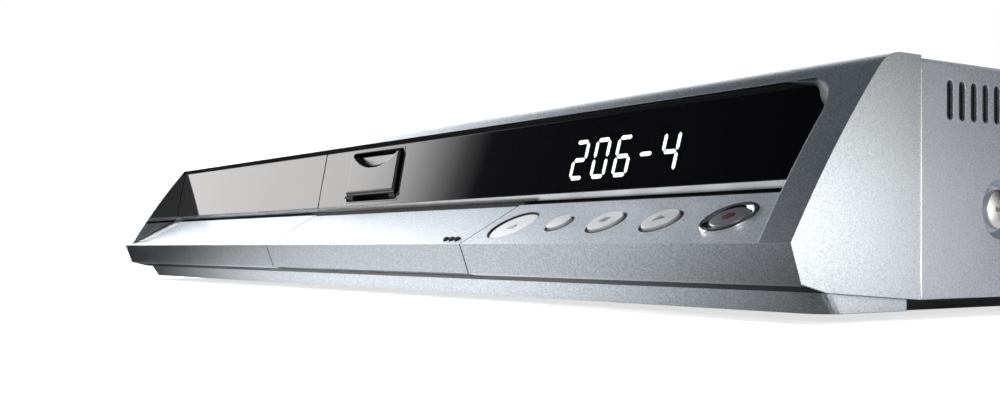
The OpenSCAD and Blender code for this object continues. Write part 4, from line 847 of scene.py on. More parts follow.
@dataclass
class CardDoor:
    """The small flap in the window: a smoked plate with a finger scoop, its pins and its opening's rim.

    Attributes:
        x: left and right edge.
        v: foot and head, up the window.
        back: thickness behind the window's face.
        rise: how far its face stands out.
        edge: radius of its rim at the head and the sides.
        foot: radius of its rim at the foot, which clears the opening as the door swings.
        scoop: radius, height and depth of the finger scoop.
        pin: place up the window, depth behind its face and radius of the hinge pins.
        pin_out: how far a pin reaches past the door's side.
        pin_bevel: bevel at a pin's end.
        hub: length and radius of the hubs.
        gap: gap at the sides and head, and at the foot.
        grid: points across and up the door's face.
        least: least run of the scoop.
        corner: radius of the rim's corners.
    """

    x: Pair = (-21.6 * MM, 13.8 * MM)
    v: Pair = (18.455 * MM, 34.055 * MM)
    back: float = 2.2 * MM
    rise: float = 1.6 * MM
    edge: float = 0.3 * MM
    foot: float = 1.9 * MM
    scoop: Triple = (27.6 * MM, 5.2 * MM, 3.0 * MM)
    pin: Triple = (18.355 * MM, -0.9 * MM, 0.9 * MM)
    pin_out: float = 2.8 * MM
    pin_bevel: float = 0.2 * MM
    hub: Pair = (4.0 * MM, 1.3 * MM)
    gap: Pair = (1.5 * MM, 2.0 * MM)
    grid: tuple[int, int] = (60, 48)
    least: float = 0.4 * MM
    corner: float = 1.8 * MM

    def build(self, shop: Shop) -> None:
        """Builds the door, its pins and the rim.

        Args:
            shop: makes the finishes and joins pieces to the frame.
        """
        shop.add(self._plate(), SMOKED, "card_flap", "smoked_window", "card_flap")
        for side, at in (("left", self.x[0]), ("right", self.x[1])):
            shop.add(self._pin("card_pin_" + side, at), BLACK, "card_flap", "black_plastic")
        shop.add(self._rim(), SMOKED, "case", "smoked_window")

    def _plate(self) -> bpy.types.Object:
        """Builds the door as a height field over a grid, with its border folded back to a flat rear.

        The height is the least of the two edges' quarter circles, less the scoop, which falls from an arc
        towards the head as depth * sqrt(1 - (1 - t) ** 2), where t is the share of the way from the arc to
        the head.

        Returns:
            The door's object.
        """
        x, rim_x = self._border(self.x, (self.edge, self.edge), self.grid[0])
        v, rim_v = self._border(self.v, (self.foot, self.edge), self.grid[1])
        gx, gv = np.meshgrid(x, v, indexing="ij")
        w = np.minimum(rim_x[:, None], rim_v[None, :])
        radius, high, deep = self.scoop
        off = gx - np.mean(self.x)
        start = self.v[1] + radius - high - np.sqrt(radius ** 2 - off ** 2)
        t = np.clip((gv - start) / np.maximum(self.v[1] - start, self.least), 0, 1)
        w = np.where(w > -self.back, np.minimum(w, self.rise - deep * np.sqrt(1 - (1 - t) ** 2)), w)
        rows, cols = w.shape
        faces = grid_faces(rows, cols)[:, ::-1]
        number = np.arange(rows * cols).reshape(rows, cols)
        loop = np.concatenate([number[:, 0], number[-1, 1:], number[-2::-1, -1], number[0, -2:0:-1]])
        obj = put_mesh("card_door", GLASS.place(gx, gv, w).reshape(-1, 3), faces, [loop.tolist()])
        seal(obj)
        return obj

    def _border(self, ends: Pair, radii: Pair,
                inner: int) -> tuple[np.ndarray, np.ndarray]:
        """Spaces a grid between two edges, with each rim's quarter circle and the wall behind it.

        Args:
            ends: first and last edge.
            radii: radius of the rim at each.
            inner: points between the rims.

        Returns:
            Places across the door, and the height that its edges allow at each.
        """
        t = np.radians(np.linspace(0, 90, 8))
        first, last = (np.concatenate([[0], r * (1 - np.cos(t))]) for r in radii)
        rise, fall = (np.concatenate([[-self.back], self.rise - r * (1 - np.sin(t))]) for r in radii)
        mid = np.linspace(ends[0] + radii[0], ends[1] - radii[1], inner + 2)[1:-1]
        places = np.concatenate([ends[0] + first, mid, ends[1] - last[::-1]])
        return places, np.concatenate([rise, np.full(inner, self.rise), fall[::-1]])

    def _pin(self, name: str, at: float) -> bpy.types.Object:
        """Builds a hub with its pin: a profile of (radius, place along X) turned about the hinge.

        Args:
            name: the piece's name.
            at: the door's side that it stands at.

        Returns:
            The pin's object.
        """
        way = 1 if at > np.mean(self.x) else -1
        inner, outer = at - way * self.hub[0], at + way * self.pin_out
        low = (self.pin[2], outer - way * self.pin_bevel)
        profile = np.array([(0, inner), (self.hub[1], inner), (self.hub[1], at), (self.pin[2], at), low,
                            (self.pin[2] - self.pin_bevel, outer), (0, outer)])
        t = np.linspace(0, 2 * np.pi, 24, endpoint=False)[None, :]
        r, x = profile[:, :1], profile[:, 1:]
        return skin(name, GLASS.place(x + 0 * t, self.pin[0] + r * np.cos(t), self.pin[1] + r * np.sin(t)))

    def _rim(self) -> bpy.types.Object:
        """Builds the rim: a low bead carried round a rectangle, square outside and round-cornered inside."""
        gap, foot = self.gap
        box = (self.x[0] - gap, self.x[1] + gap, self.v[0] - foot, self.v[1] + gap)
        # Millimetres out of the opening and out of the window, and the share of the corner's radius.
        steps = ((0.35, 0.01, 0.4), (0.2, 0.1, 0.5), (0.0, 0.1, 0.8), (-0.15, 0.0, 1.0), (-0.15, -1.0, 1.0),
                 (0.35, -0.02, 0.4))
        rings = []
        for out, w, share in steps:
            edge = rounded_box(box, out * MM, share * self.corner)
            rings.append(GLASS.place(edge[:, 0], edge[:, 1], np.full(len(edge), w * MM)))
        return skin("card_rim", np.array(rings), wrap=True)


@dataclass
class FasciaTrim:
    """Small trim of the front: the window's upper right corner, whose slope is painted shade, and three dots
    on the input flap.

    Attributes:
        fillet: radius of the fillet.
        lap: how far the fillet overlaps the cheek and the band.
        inset: corner points of the dark pane inside the fillet, from the cheek to the band.
        pane: radius of the pane's corner.
        proud: how far the corner's front stands before the cheek's.
        skim: how far the corner's rear stands before the window.
        sag: power that the slope falls with.
        dots: places of the dots along X.
        dot_v: how far up the shelf they stand.
        dot: radius and height of a dot.
        root: how far a dot reaches into the flap.
    """

    fillet: float = 9.0 * MM
    lap: float = 0.7 * MM
    inset: tuple[Pair, ...] = ((202.0 * MM, 29.6 * MM), (199.5 * MM, 36.2 * MM), (186.0 * MM, 37.8 * MM))
    pane: float = 2.6 * MM
    proud: float = 0.03 * MM
    skim: float = 0.05 * MM
    sag: float = 1.2
    dots: tuple[float, ...] = (82.2 * MM, 85.2 * MM, 88.2 * MM)
    dot_v: float = 2.7 * MM
    dot: Pair = (1.1 * MM, 0.95 * MM)
    root: float = 0.3 * MM

    def build(self, shop: Shop) -> None:
        """Builds the corner's fillet, its slope in painted shade, and the dots.

        Args:
            shop: makes the finishes and joins pieces to the frame.
        """
        shop.add(self._fillet(), FLUSH, "case", "silver_paint")
        # The slope gets the dark copy of the silver: painted shade in the corner.
        shop.add(self._slope(), SILVER_SHADE_COPY, "case", "silver_paint")
        radius, high = self.dot
        t = np.radians(np.linspace(0, 90, 7))
        dome = np.stack([radius * np.cos(t), high * np.sin(t)], -1)
        profile = np.concatenate([[(0, -self.root), (radius, -self.root)], dome])
        for i, x in enumerate(self.dots):
            dot = skin(f"flap_dot_{i}", turned(SHELF, x, self.dot_v, profile, 24))
            shop.add(dot, BLACK, "input_flap", "black_plastic")

    def _circle(self) -> np.ndarray:
        """Returns the fillet's quarter circle, from the cheek to the band."""
        r = self.fillet
        return arc((CHEEK_X - r, WINDOW_HEAD - r), r, 0, 90, 20)

    def _fillet(self) -> bpy.types.Object:
        """Builds the fillet: the corner filled flush with the cheek, from its sides to the quarter circle.

        A ray from the circle's centre meets the corner's sides at r / max(cos t, sin t). The overlap fades
        to nothing at both ends, with the root of cos t sin t.

        Returns:
            The fillet's object.
        """
        near = self._circle()
        centre = np.array([CHEEK_X, WINDOW_HEAD]) - self.fillet
        ray = (near - centre) / self.fillet
        wide = np.clip(2.2 * ray.prod(axis=1, keepdims=True) ** 0.5, 0, 1)
        far = centre + (self.fillet / ray.max(axis=1, keepdims=True) + self.lap * wide) * ray
        return self._patch("window_fillet", np.array([far, near, near, far]), np.array([0, 0, 1, 1]))

    def _slope(self) -> bpy.types.Object:
        """Builds the slope from the fillet and the band's edge back to the dark pane.

        It is ruled between two curves: the quarter circle carried on along the band, and the pane's border
        with its round corner. The fall is a power of the share of the way between them.

        Returns:
            The slope's object.
        """
        first, corner, last = np.array(self.inset)
        run = np.linspace(0, 1, 9)[1:, None]
        circle = self._circle()
        outer = np.concatenate([circle, circle[-1] + run * (last - circle[-1])])
        bend = arc((corner[0] - self.pane, corner[1] - self.pane), self.pane, 0, 90, 11)
        inner = np.concatenate([outer[:1], first + (run - run[0]) * (bend[0] - first), bend,
                                bend[-1] + run * (last - bend[-1])])
        share = np.linspace(0, 1, 8)
        rows = outer + share[:, None, None] * (inner - outer)
        fall = np.append(share ** self.sag, 1)
        return self._patch("window_slope", np.concatenate([rows, outer[None]]), fall)

    def _patch(self, name: str, flat: np.ndarray, fall: np.ndarray) -> bpy.types.Object:
        """Builds a patch of the corner: each row lies part of the way from the cheek's front to the window.

        Args:
            name: the piece's name.
            flat: rows by points by 2, across and above the lip; the ends of all rows meet.
            fall: each row's share of the way to the window.

        Returns:
            The patch's object.
        """
        x, h = flat[..., 0], flat[..., 1]
        window = GLASS.behind(h) - self.skim
        s = window - (window - cheek_front(h) + self.proud).clip(0) * (1 - fall[:, None])
        points = LEVEL.place(x, s, h)
        points[:, [0, -1]] = points[-1, [0, -1]]
        obj = put_mesh(name, points.reshape(-1, 3), grid_faces(len(flat), flat.shape[1], round_u=True))
        seal(obj)
        return obj


@dataclass
class FrontShadeAndFeet:
    """Dark sheets in the front's gaps and recesses, painted shade where these fall in shade, and the
    polished foot of the bezel and the window.

    Attributes:
        bezel: left and right end of the tray's bezel.
        foot: lower edge of the bezel and the window, up the window.
        chamfer: height of their polished foot.
        fall: how far the polished foot's lower edge lies behind the window's face.
        wedge: how far its upper edge and its rear edges, above and below, lie behind that face.
        lift: how far its lower edge lies above theirs.
        ends: gap at the end of each polished foot, and at the window's left end.
        channel: front and rear of the channel over the window, behind the lip.
        sheet: foot and head of the channel's painted shade, from the window's upper edge.
        flap: left and right end of the input flap's opening.
        seam: width of the gap at each side of the flap.
        lap: how far the painted shade beside that gap reaches over the front.
        depth: depth of that line's front and rear behind the shelf and the band.
        trim: how far its sides stand inside its span.
        corners: the front's corners behind and above the lip: head of the shelf, lip and foot of the band.
        chin: front and rear of the gap under the flap, behind and above the lip.
        chin_thick: thickness of the painted shade in that gap.
        band_shade: front and rear of the painted shade under the band, behind and above the lip.
        band_shade_skin: foot and head of that painted shade, from the line.
        sill: share of that painted shade's depth that the flap's gap takes.
        end: where that line ends along X.
        skim: thickness of the painted shade beside a cheek.
        wall_in: how far that painted shade lies behind the cheek's front, and before the shelf and the
            window.
        wall_h: lowest and highest point of that lining, above the lip.
    """

    bezel: Pair = (-205.6 * MM, -46.6 * MM)
    foot: float = 13.155 * MM
    chamfer: float = 1.8 * MM
    fall: float = 0.9 * MM
    wedge: Triple = (0.02 * MM, 0.5 * MM, 1.7 * MM)
    lift: float = 0.15 * MM
    ends: Pair = (0.1 * MM, 0.3 * MM)
    channel: Pair = (27.7 * MM, 30.5 * MM)
    sheet: Pair = (-0.06 * MM, -0.01 * MM)
    flap: Pair = (-43.1 * MM, 92.7 * MM)
    seam: float = 0.35 * MM
    lap: float = 0.2 * MM
    depth: Pair = (-0.02 * MM, 1.2 * MM)
    trim: float = 0.02 * MM
    corners: tuple[Pair, ...] = ((21.0 * MM, 11.323 * MM), (0.0, 0.0), (3.2 * MM, -8.5 * MM))
    chin: tuple[Pair, ...] = ((6.4 * MM, -9.4 * MM), (8.5 * MM, -9.9 * MM))
    chin_thick: float = 0.1 * MM
    band_shade: tuple[Pair, ...] = ((5.5 * MM, -9.06 * MM), (10.9 * MM, -10.376 * MM))
    band_shade_skin: Pair = (-0.05 * MM, 0.02 * MM)
    sill: float = 0.6
    end: float = 214.2 * MM
    skim: float = 0.06 * MM
    wall_in: Pair = (0.5 * MM, 0.1 * MM)
    wall_h: Pair = (1.2 * MM, WINDOW_HEAD - 0.4 * MM)

    def build(self, shop: Shop) -> None:
        """Builds the painted shade in the gaps and recesses, and the polished feet.

        Args:
            shop: makes the finishes and joins pieces to the frame.
        """
        left, right = self.bezel
        gap, start = self.ends
        for name, span, body in (("bezel_foot", (left, right - gap), "tray"),
                                 ("window_foot", (right + start, CHEEK_X - gap), "case")):
            shop.add(skin(name, drawn(GLASS, self._polished(), span)), FOOT, body, "chrome_ring")
        # Black sheet under the channel over the window: painted shade.
        channel = oblong(self.channel, (self.sheet[0] + WINDOW_HEAD, self.sheet[1] + WINDOW_HEAD))
        rings = drawn(LEVEL, channel, (-CHEEK_X, CHEEK_X))
        shop.add(skin("channel_shade", rings), BLACK, "case", "black_plastic")
        # Black sheet in the gap under the flap: painted shade.
        front, rear = np.array(self.chin)
        lift = np.array([0, self.chin_thick])
        under = np.array([front, rear, rear + lift, front + lift])
        shop.add(skin("chin_shade", drawn(LEVEL, under, self.flap)), BLACK, "case", "black_plastic")
        # Black line on the chin under the band, across the whole width: painted shade.
        front, rear = np.array(self.band_shade)
        low, high = self.band_shade_skin
        thick = np.array([(0, low), (0, low), (0, high), (0, high)])
        for name, start, span in (("band_shade_left", 0.0, (-self.end, self.flap[0] - self.seam)),
                                  ("band_shade_middle", self.sill, self.flap),
                                  ("band_shade_right", 0.0, (self.flap[1] + self.seam, self.end))):
            near = front + start * (rear - front)
            line = np.array([near, rear, rear, near]) + thick
            shop.add(skin(name, drawn(LEVEL, line, span)), BLACK, "case", "black_plastic")
        # Dark glossy sheets on the cheeks' inner sides: painted shade.
        for side, way in (("left", -1), ("right", 1)):
            shop.add(self._wall("wall_shade_" + side, way), SMOKED, "case", "black_plastic")
        # Black lines in and beside the flap's side gaps: painted shade.
        left, right = self.flap
        for name, span in (("flap_gap_shade_left", (left - self.lap, left + self.seam)),
                           ("flap_gap_shade_right", (right - self.seam, right + self.lap))):
            shop.add(self._lining(name, span), BLACK, "case", "black_plastic")

    def _wall(self, name: str, way: int) -> bpy.types.Object:
        """Builds the painted shade on a cheek's inner side: a thin dark sheet from the cheek's front to the
        window.

        Ring k runs round the sheet at a height: it starts behind the circle of the cheek's front, and ends
        at the nearer of the shelf and the window.

        Args:
            name: the piece's name.
            way: -1 at the left and 1 at the right.

        Returns:
            The painted shade's object.
        """
        h = np.linspace(*self.wall_h, 33)
        front = cheek_front(h) + self.wall_in[0]
        back = np.minimum(GLASS.behind(h), SHELF.behind(h)) - self.wall_in[1]
        back = np.maximum(back, front)
        depth = np.stack([front, back, back, front], -1)
        depth = np.concatenate([0 * depth[:1] + depth[0].mean(), depth, 0 * depth[:1] + depth[-1].mean()])
        level = np.concatenate([h[:1], h, h[-1:]])[:, None]
        across = way * (CHEEK_X - self.skim * np.array([1, 1, 0, 0]))[None]
        return skin(name, LEVEL.place(across, depth, level))

    def _polished(self) -> np.ndarray:
        """Returns the section of a polished foot: a wedge on the chamfer that looks down at the shelf."""
        head, low = self.foot + self.chamfer, self.foot + self.lift
        front, above, below = self.wedge
        return np.array([(head, -above), (head, -front), (low, -self.fall), (low, -below)])

    def _lining(self, name: str, span: Pair) -> bpy.types.Object:
        """Builds painted shade in a side gap of the flap: a thin dark wall that follows the shelf and the
        band.

        Ring k stands at corner k of the front, drawn inwards by two depths along its neighbours' mitre.

        Args:
            name: the piece's name.
            span: its left and right side.

        Returns:
            The painted shade's object.
        """
        at = np.array(self.corners)
        step = np.diff(at, axis=0)
        inward = np.stack([-step[:, 1], step[:, 0]], -1) / np.linalg.norm(step, axis=1)[:, None]
        both = (inward[0] + inward[1]) / (1 + inward[0] @ inward[1])
        mitre = np.array([inward[0], both, inward[1]])[:, None]
        depth = np.repeat(self.depth, 2)[None, :, None]
        flat = at[:, None] + depth * mitre
        flat = np.concatenate([flat[:1].mean(axis=1, keepdims=True) + 0 * flat[:1], flat,
                               flat[-1:].mean(axis=1, keepdims=True) + 0 * flat[-1:]])
        across = np.array([span[0] + self.trim, span[1] - self.trim])[[0, 1, 1, 0]]
        across = np.tile(across, (len(flat), 1))
        across[[0, -1]] = np.mean(span)
        return skin(name, LEVEL.place(across, flat[..., 0], flat[..., 1]))


@dataclass
class CaseTrim:
    """Trim of the sides and the rear: domed screw heads, a dark sheet behind the vents as painted shade, and
    a bead at the seam.

    Attributes:
        side_base: half the width at the foot of the side screws' heads.
        side_at: places of the side screws along Y and Z.
        rear_at: places of the rear screws along X and Z.
        head: radius of a side head, radius of a rear head, and height of the flat head under the dome.
        dome: height of the dome.
        lap: how far a dome's rim reaches past the flat head, and how far its face lies over that head.
        rim: width of the dome's rim.
        hem: where the dome's wall starts and how far below the flat head's face it ends.
        slot: half the width and half the length of an arm of the cross recess.
        soft: widths of the recess's slopes beside and at the end of an arm, and height of its floor.
        shade_sheet_x: half the width at the inner and outer face of the dark sheet behind the vents, which
            is painted shade.
        shade_sheet: front, rear, foot and head of that sheet along Y and Z.
        bead: half the width, distance behind the lip and radius of the bead.
        bead_h: foot and head of the bead above the lip.
    """

    side_base: float = 212.2 * MM
    side_at: tuple[Pair, ...] = ((-90.6 * MM, 25.2 * MM), (121.0 * MM, 25.2 * MM))
    rear_at: tuple[Pair, ...] = ((-155 * MM, 53.1 * MM), (0.0, 53.1 * MM), (155 * MM, 53.1 * MM))
    head: Triple = (4.7 * MM, 4.0 * MM, 2.1 * MM)
    dome: float = 0.6 * MM
    lap: Pair = (0.06 * MM, 0.05 * MM)
    rim: float = 0.15 * MM
    hem: Pair = (0.3 * MM, 0.1 * MM)
    slot: Pair = (0.55 * MM, 2.2 * MM)
    soft: Triple = (0.15 * MM, 0.3 * MM, 0.02 * MM)
    shade_sheet_x: Pair = (213.2 * MM, 213.6 * MM)
    shade_sheet: Quad = (-117 * MM, -8 * MM, 43 * MM, 56.4 * MM)
    bead: Triple = (214.95 * MM, 42.6 * MM, 0.22 * MM)
    bead_h: Pair = (-12.3 * MM, 39.0 * MM)

    def build(self, shop: Shop) -> None:
        """Builds the screw heads, the painted shade behind the vents and the beads.

        Args:
            shop: makes the finishes and joins pieces to the frame.
        """
        rear_base = LIP_Y + REAR.s
        for i, (x, z) in enumerate(self.rear_at):
            a, b, w = self._head(self.head[1])
            rings = np.stack([x + a, rear_base + w, z + b], -1)
            shop.add(skin(f"rear_screw_dome_{i}", rings), NICKEL, "case", "nickel")
        for side, way in (("left", -1), ("right", 1)):
            for i, (y, z) in enumerate(self.side_at):
                a, b, w = self._head(self.head[0])
                rings = np.stack([way * (self.side_base + w), y + a, z + b], -1)
                shop.add(skin(f"side_screw_dome_{side}_{i}", rings), NICKEL, "case", "nickel")
            # A dark sheet behind the vents: painted shade inside them.
            shop.add(self._shade_sheet("vent_shade_sheet_" + side, way), RUBBER, "case", "black_plastic")
            shop.add(self._bead("seam_bead_" + side, way), CHROME, "case", "chrome_ring")

    def _head(self, radius: float) -> tuple[np.ndarray, np.ndarray, np.ndarray]:
        """Draws a domed head over the flat one: a round grid, as high as the dome less the cross recess.

        The height is flat + dome * (1 - (r / radius) ** 2), less the dome where either arm of the cross is.

        Args:
            radius: the flat head's radius.

        Returns:
            Both measures across the head and the height out of it, rings by points.
        """
        flat, full = self.head[2], radius + self.lap[0]
        t = np.linspace(0, 2 * np.pi, 96, endpoint=False)[None, :]
        r = np.concatenate([[0, full, full], np.linspace(full - self.rim, 0, 30)])[:, None]
        a, b = r * np.cos(t), r * np.sin(t)
        w = flat + self.lap[1] + self.dome * (1 - (r / full) ** 2) + 0 * t
        (half, arm), (beside, tip, floor) = self.slot, self.soft
        first = ramp(np.abs(a), half, -beside) * ramp(np.abs(b), arm, -tip)
        second = ramp(np.abs(b), half, -beside) * ramp(np.abs(a), arm, -tip)
        w = w - (w - flat - floor) * np.maximum(first, second)
        w[:2], w[2] = self.hem[0], flat - self.hem[1]
        return a, b, w

    def _shade_sheet(self, name: str, way: int) -> bpy.types.Object:
        """Builds the dark sheet behind a side's vents, painted shade in them: a round-cornered outline
        carried along X.

        Args:
            name: the piece's name.
            way: -1 at the left and 1 at the right.

        Returns:
            The sheet's object.
        """
        edge = rounded_box(self.shade_sheet, 0.0, 2 * MM)
        mid = edge.mean(axis=0)
        flat = mid + np.array([0, 1, 1, 0])[:, None, None] * (edge - mid)
        x = way * np.repeat(self.shade_sheet_x, 2)[:, None] + 0 * flat[..., 0]
        return skin(name, np.stack([x, flat[..., 0], flat[..., 1]], -1))

    def _bead(self, name: str, way: int) -> bpy.types.Object:
        """Builds the bead at the seam of front and cover: a circle carried up, with both ends closed.

        Args:
            name: the piece's name.
            way: -1 at the left and 1 at the right.

        Returns:
            The bead's object.
        """
        at, s, radius = self.bead
        t = np.linspace(0, 2 * np.pi, 16, endpoint=False)[None, :]
        r = radius * np.array([0, 1, 1, 0])[:, None]
        h = np.repeat(self.bead_h, 2)[:, None]
        return skin(name, LEVEL.place(way * (at + r * np.cos(t)), s + r * np.sin(t), h + 0 * t))


@dataclass
class PhonoRings:
    """Bright sleeves and coloured rings on the phono sockets, at the rear and behind the input flap.

    Attributes:
        columns: places of the rear columns along X, with the colour of each.
        rows: heights of the rear rows above the floor.
        front: places of the front sockets along X, with the colour of each.
        front_h: their height above the lip.
        barrel: radius of a barrel.
        collar: radius and thickness of the collar at its foot.
        reach: how far rear and front barrels stand out.
        mouth: radius of the coloured disc, and of the bore in it.
    """

    columns: tuple[tuple[float, Finish], ...] = (
        (-36 * MM, SOCKET), (-22 * MM, WHITE_RING), (-8 * MM, RED_RING))
    rows: tuple[float, ...] = (17.6 * MM, 31.6 * MM)
    front: tuple[tuple[float, Finish], ...] = (
        (17.8 * MM, SOCKET), (31.8 * MM, WHITE_RING), (45.8 * MM, RED_RING))
    front_h: float = -2.2 * MM
    barrel: float = 4.15 * MM
    collar: Pair = (5.25 * MM, 1.2 * MM)
    reach: Pair = (8.5 * MM, 6.0 * MM)
    mouth: Pair = (3.4 * MM, 1.75 * MM)

    def build(self, shop: Shop) -> None:
        """Builds the rings of every socket.

        Args:
            shop: makes the finishes and joins pieces to the frame.
        """
        for j, z in enumerate(self.rows):
            for i, (x, colour) in enumerate(self.columns):
                self._socket(shop, f"rear_phono_{j}{i}", REAR, x, LIP_Z - z, self.reach[0], colour)
        for i, (x, colour) in enumerate(self.front):
            self._socket(shop, f"front_phono_{i}", JACKS, x, self.front_h, self.reach[1], colour)

    def _socket(self, shop: Shop, name: str, face: Face, x: float, v: float, end: float,
                colour: Finish) -> None:
        """Builds one socket's sleeve, collar and disc: closed profiles turned about the barrel's axis.

        Args:
            shop: makes the finishes and joins pieces to the frame.
            name: start of the pieces' names.
            face: the panel that carries it.
            x: place along X.
            v: place up the panel.
            end: how far the barrel stands out.
            colour: finish of the collar and the disc.
        """
        r, (wide, foot), (disc, bore) = self.barrel, self.collar, self.mouth
        skim, clear = 0.05 * MM, 0.01 * MM
        sleeve = np.array([(r + clear, foot + skim), (r + 2 * skim, foot + skim), (r + 2 * skim, end),
                           (r, end + 2 * skim), (disc, end + 2 * skim), (disc, end + clear),
                           (r + clear, end + clear)])
        ring = oblong((r + clear, wide + skim), (clear, foot + skim))
        front = oblong((bore, disc), (end + clear, end + skim))
        for part, profile, finish, slot in (("sleeve", sleeve, NICKEL, "nickel"),
                                            ("collar", ring, colour, "socket_plastic"),
                                            ("disc", front, colour, "socket_plastic")):
            obj = skin(f"{name}_{part}", turned(face, x, v, profile, 48), wrap=True)
            shop.add(obj, finish, "case", slot)


def ramp(value: np.ndarray, start: float, width: float) -> np.ndarray:
    """Rises softly from 0 at start to 1 at start plus width, which may be negative: t * t * (3 - 2 t).

    Args:
        value: where it is wanted.
        start: where it is 0.
        width: how long it rises for; 0 gives 1 everywhere.

    Returns:
        Shares from 0 to 1.
    """
    if width == 0:
        return np.ones_like(value)
    t = np.clip((value - start) / width, 0, 1)
    return t * t * (3 - 2 * t)


@dataclass
class Card:
    """A studio card that only gloss sees.

    Attributes:
        name: the card's name.
        places: rows by columns by 3.
        veil: how solid it is at each place, from 0 to 1.
        glow: strength of its light at each place; a dark card has a low one.
        tint: colour of its light.
    """

    name: str
    places: np.ndarray
    veil: np.ndarray
    glow: np.ndarray
    tint: Colour = (0.985, 0.985, 0.97)

    @classmethod
    def sky(cls, name: str, turn: Pair, rise: Pair,
            soft: Quad, light: float, far: float,
            tint: Colour = (0.8, 0.91, 1.0)) -> Card:
        """Makes a patch of a wide sphere: far * (-cos a cos e, -sin a cos e, sin e).

        Args:
            name: the card's name.
            turn: first and last angle in degrees from -X towards the front.
            rise: first and last angle above the horizon, degrees.
            soft: degrees of soft border at the first turn, the last turn, the foot and the top.
            light: strength of its light.
            far: radius of the sphere.
            tint: colour of its light.

        Returns:
            The card.
        """
        a, e = np.meshgrid(np.linspace(*turn, 97), np.linspace(*rise, 49), indexing="ij")
        ar, er = np.radians(a), np.radians(e)
        places = far * np.stack([-np.cos(ar) * np.cos(er), -np.sin(ar) * np.cos(er), np.sin(er)], -1)
        veil = (ramp(a, turn[0], soft[0]) * ramp(a, turn[1], -soft[1]) * ramp(e, rise[0], soft[2])
                * ramp(e, rise[1], -soft[3]))
        return cls(name, places, veil, np.full_like(veil, light), tint)

    @classmethod
    def table(cls, name: str, light: float, middle: float, fall: Pair) -> Card:
        """Makes a strip on the floor: a bell of light along X, exp(-(x / fall) ** 3), dark under the object
        as a painted shadow of it.

        Args:
            name: the card's name.
            light: strength at the middle.
            middle: place of the middle along X.
            fall: width of the bell to the left and to the right.

        Returns:
            The card.
        """
        left, right, near, far = -0.6, 0.5, -0.42, 0.2
        rows = np.concatenate([np.linspace(near, -0.16, 27), np.linspace(-0.158, -0.14, 10),
                               np.linspace(-0.12, far, 17)])
        x, y = np.meshgrid(np.linspace(left, right, 111), rows, indexing="ij")
        off = np.abs(x - middle) / np.where(x < middle, *fall)
        veil = ramp(x, left, 0.1) * ramp(x, right, -0.15) * ramp(y, near, 0.15) * ramp(y, far, -0.06)
        veil *= 1 - 0.6 * ramp(y, -0.15, 0.006) * ramp(np.abs(x), 0.21, 0.016)
        # foot lifts the strip just before the object and cuts it to almost nothing under it: a painted
        # shadow of the object on the floor, which only gloss sees.
        foot = (1 + 0.45 * ramp(y, -0.168, 0.01)) * ramp(y, -0.144, -0.007)
        glow = light * np.exp(-off ** 3) * (0.03 + 0.97 * foot)
        return cls(name, np.stack([x, y, np.full_like(x, 0.0004)], -1), veil, glow)

    @classmethod
    def wing(cls, name: str, at: float, light: float, back: Pair, up: Pair) -> Card:
        """Makes an upright card beside the right cheek, whose light fades backwards and upwards.

        Args:
            name: the card's name.
            at: its place along X.
            light: strength at its bright corner.
            back: where along Y the light starts to fade, and over what length.
            up: where along Z the light starts to fade, and over what length.

        Returns:
            The card.
        """
        near, far, high = -0.3, 0.5, 0.3
        y, z = np.meshgrid(np.linspace(near, far, 81), np.linspace(0, high, 61), indexing="ij")
        veil = ramp(y, near, 0.1) * ramp(y, far, -0.2) * ramp(z, high, -0.12)
        glow = light * np.exp2(-np.maximum(y - back[0], 0) / back[1] - np.maximum(z - up[0], 0) / up[1])
        return cls(name, np.stack([np.full_like(y, at), y, z], -1), veil, glow, (1.0, 0.975, 0.92))

    def build(self) -> None:
        """Makes the card's mesh, with its veil and glow as attributes."""
        rows, cols = self.veil.shape
        obj = put_mesh(self.name, self.places.reshape(-1, 3), grid_faces(rows, cols))
        for name, values in (("veil", self.veil), ("glow", self.glow)):
            obj.data.attributes.new(name, "FLOAT", "POINT").data.foreach_set("value", values.ravel())
        obj.data.materials.append(self._material())
        obj.visible_camera = obj.visible_diffuse = obj.visible_shadow = obj.visible_transmission = False

    def _material(self) -> bpy.types.Material:
        """Returns the card's light where the veil is one and nothing where it is zero."""
        mat = bpy.data.materials.new(self.name)
        mat.use_nodes = True
        tree = mat.node_tree
        tree.nodes.remove(tree.nodes["Principled BSDF"])
        veil, glow = (put_node(tree, "Attribute") for _ in range(2))
        veil.attribute_name, glow.attribute_name = "veil", "glow"
        shine = put_node(tree, "Emission", {"Color": (*self.tint, 1), "Strength": glow.outputs["Fac"]})
        clear = put_node(tree, "BsdfTransparent")
        both = {"Fac": veil.outputs["Fac"], 1: clear.outputs[0], 2: shine.outputs[0]}
        mix = put_node(tree, "MixShader", both)
        feed(tree, tree.nodes["Material Output"], {"Surface": mix.outputs[0]})
        return mat


@dataclass(frozen=True)
class Lamp:
    """A soft lamp that doesn't show in gloss.

    Attributes:
        name: the lamp's name.
        place: where it hangs.
        size: its width and height.
        watts: its power.
        goal: where it points.
        spread: angle of its beam, degrees.
    """

    name: str
    place: Triple
    size: Pair
    watts: float
    goal: Triple = (0.0, 0.0, 0.0)
    spread: float = 180

    def build(self) -> None:
        """Hangs the lamp and turns it to its goal."""
        data = bpy.data.lights.new(self.name, "AREA")
        data.shape = "RECTANGLE"
        data.size, data.size_y = self.size
        data.energy = self.watts
        data.spread = math.radians(self.spread)
        lamp = bpy.data.objects.new(self.name, data)
        lamp.location = self.place
        aim = np.subtract(self.goal, self.place)
        tilt, turn = math.acos(-aim[2] / np.linalg.norm(aim)), math.atan2(-aim[0], aim[1])
        lamp.rotation_euler = (tilt, 0, turn)
        lamp.visible_glossy = lamp.visible_camera = False
        bpy.context.scene.collection.objects.link(lamp)


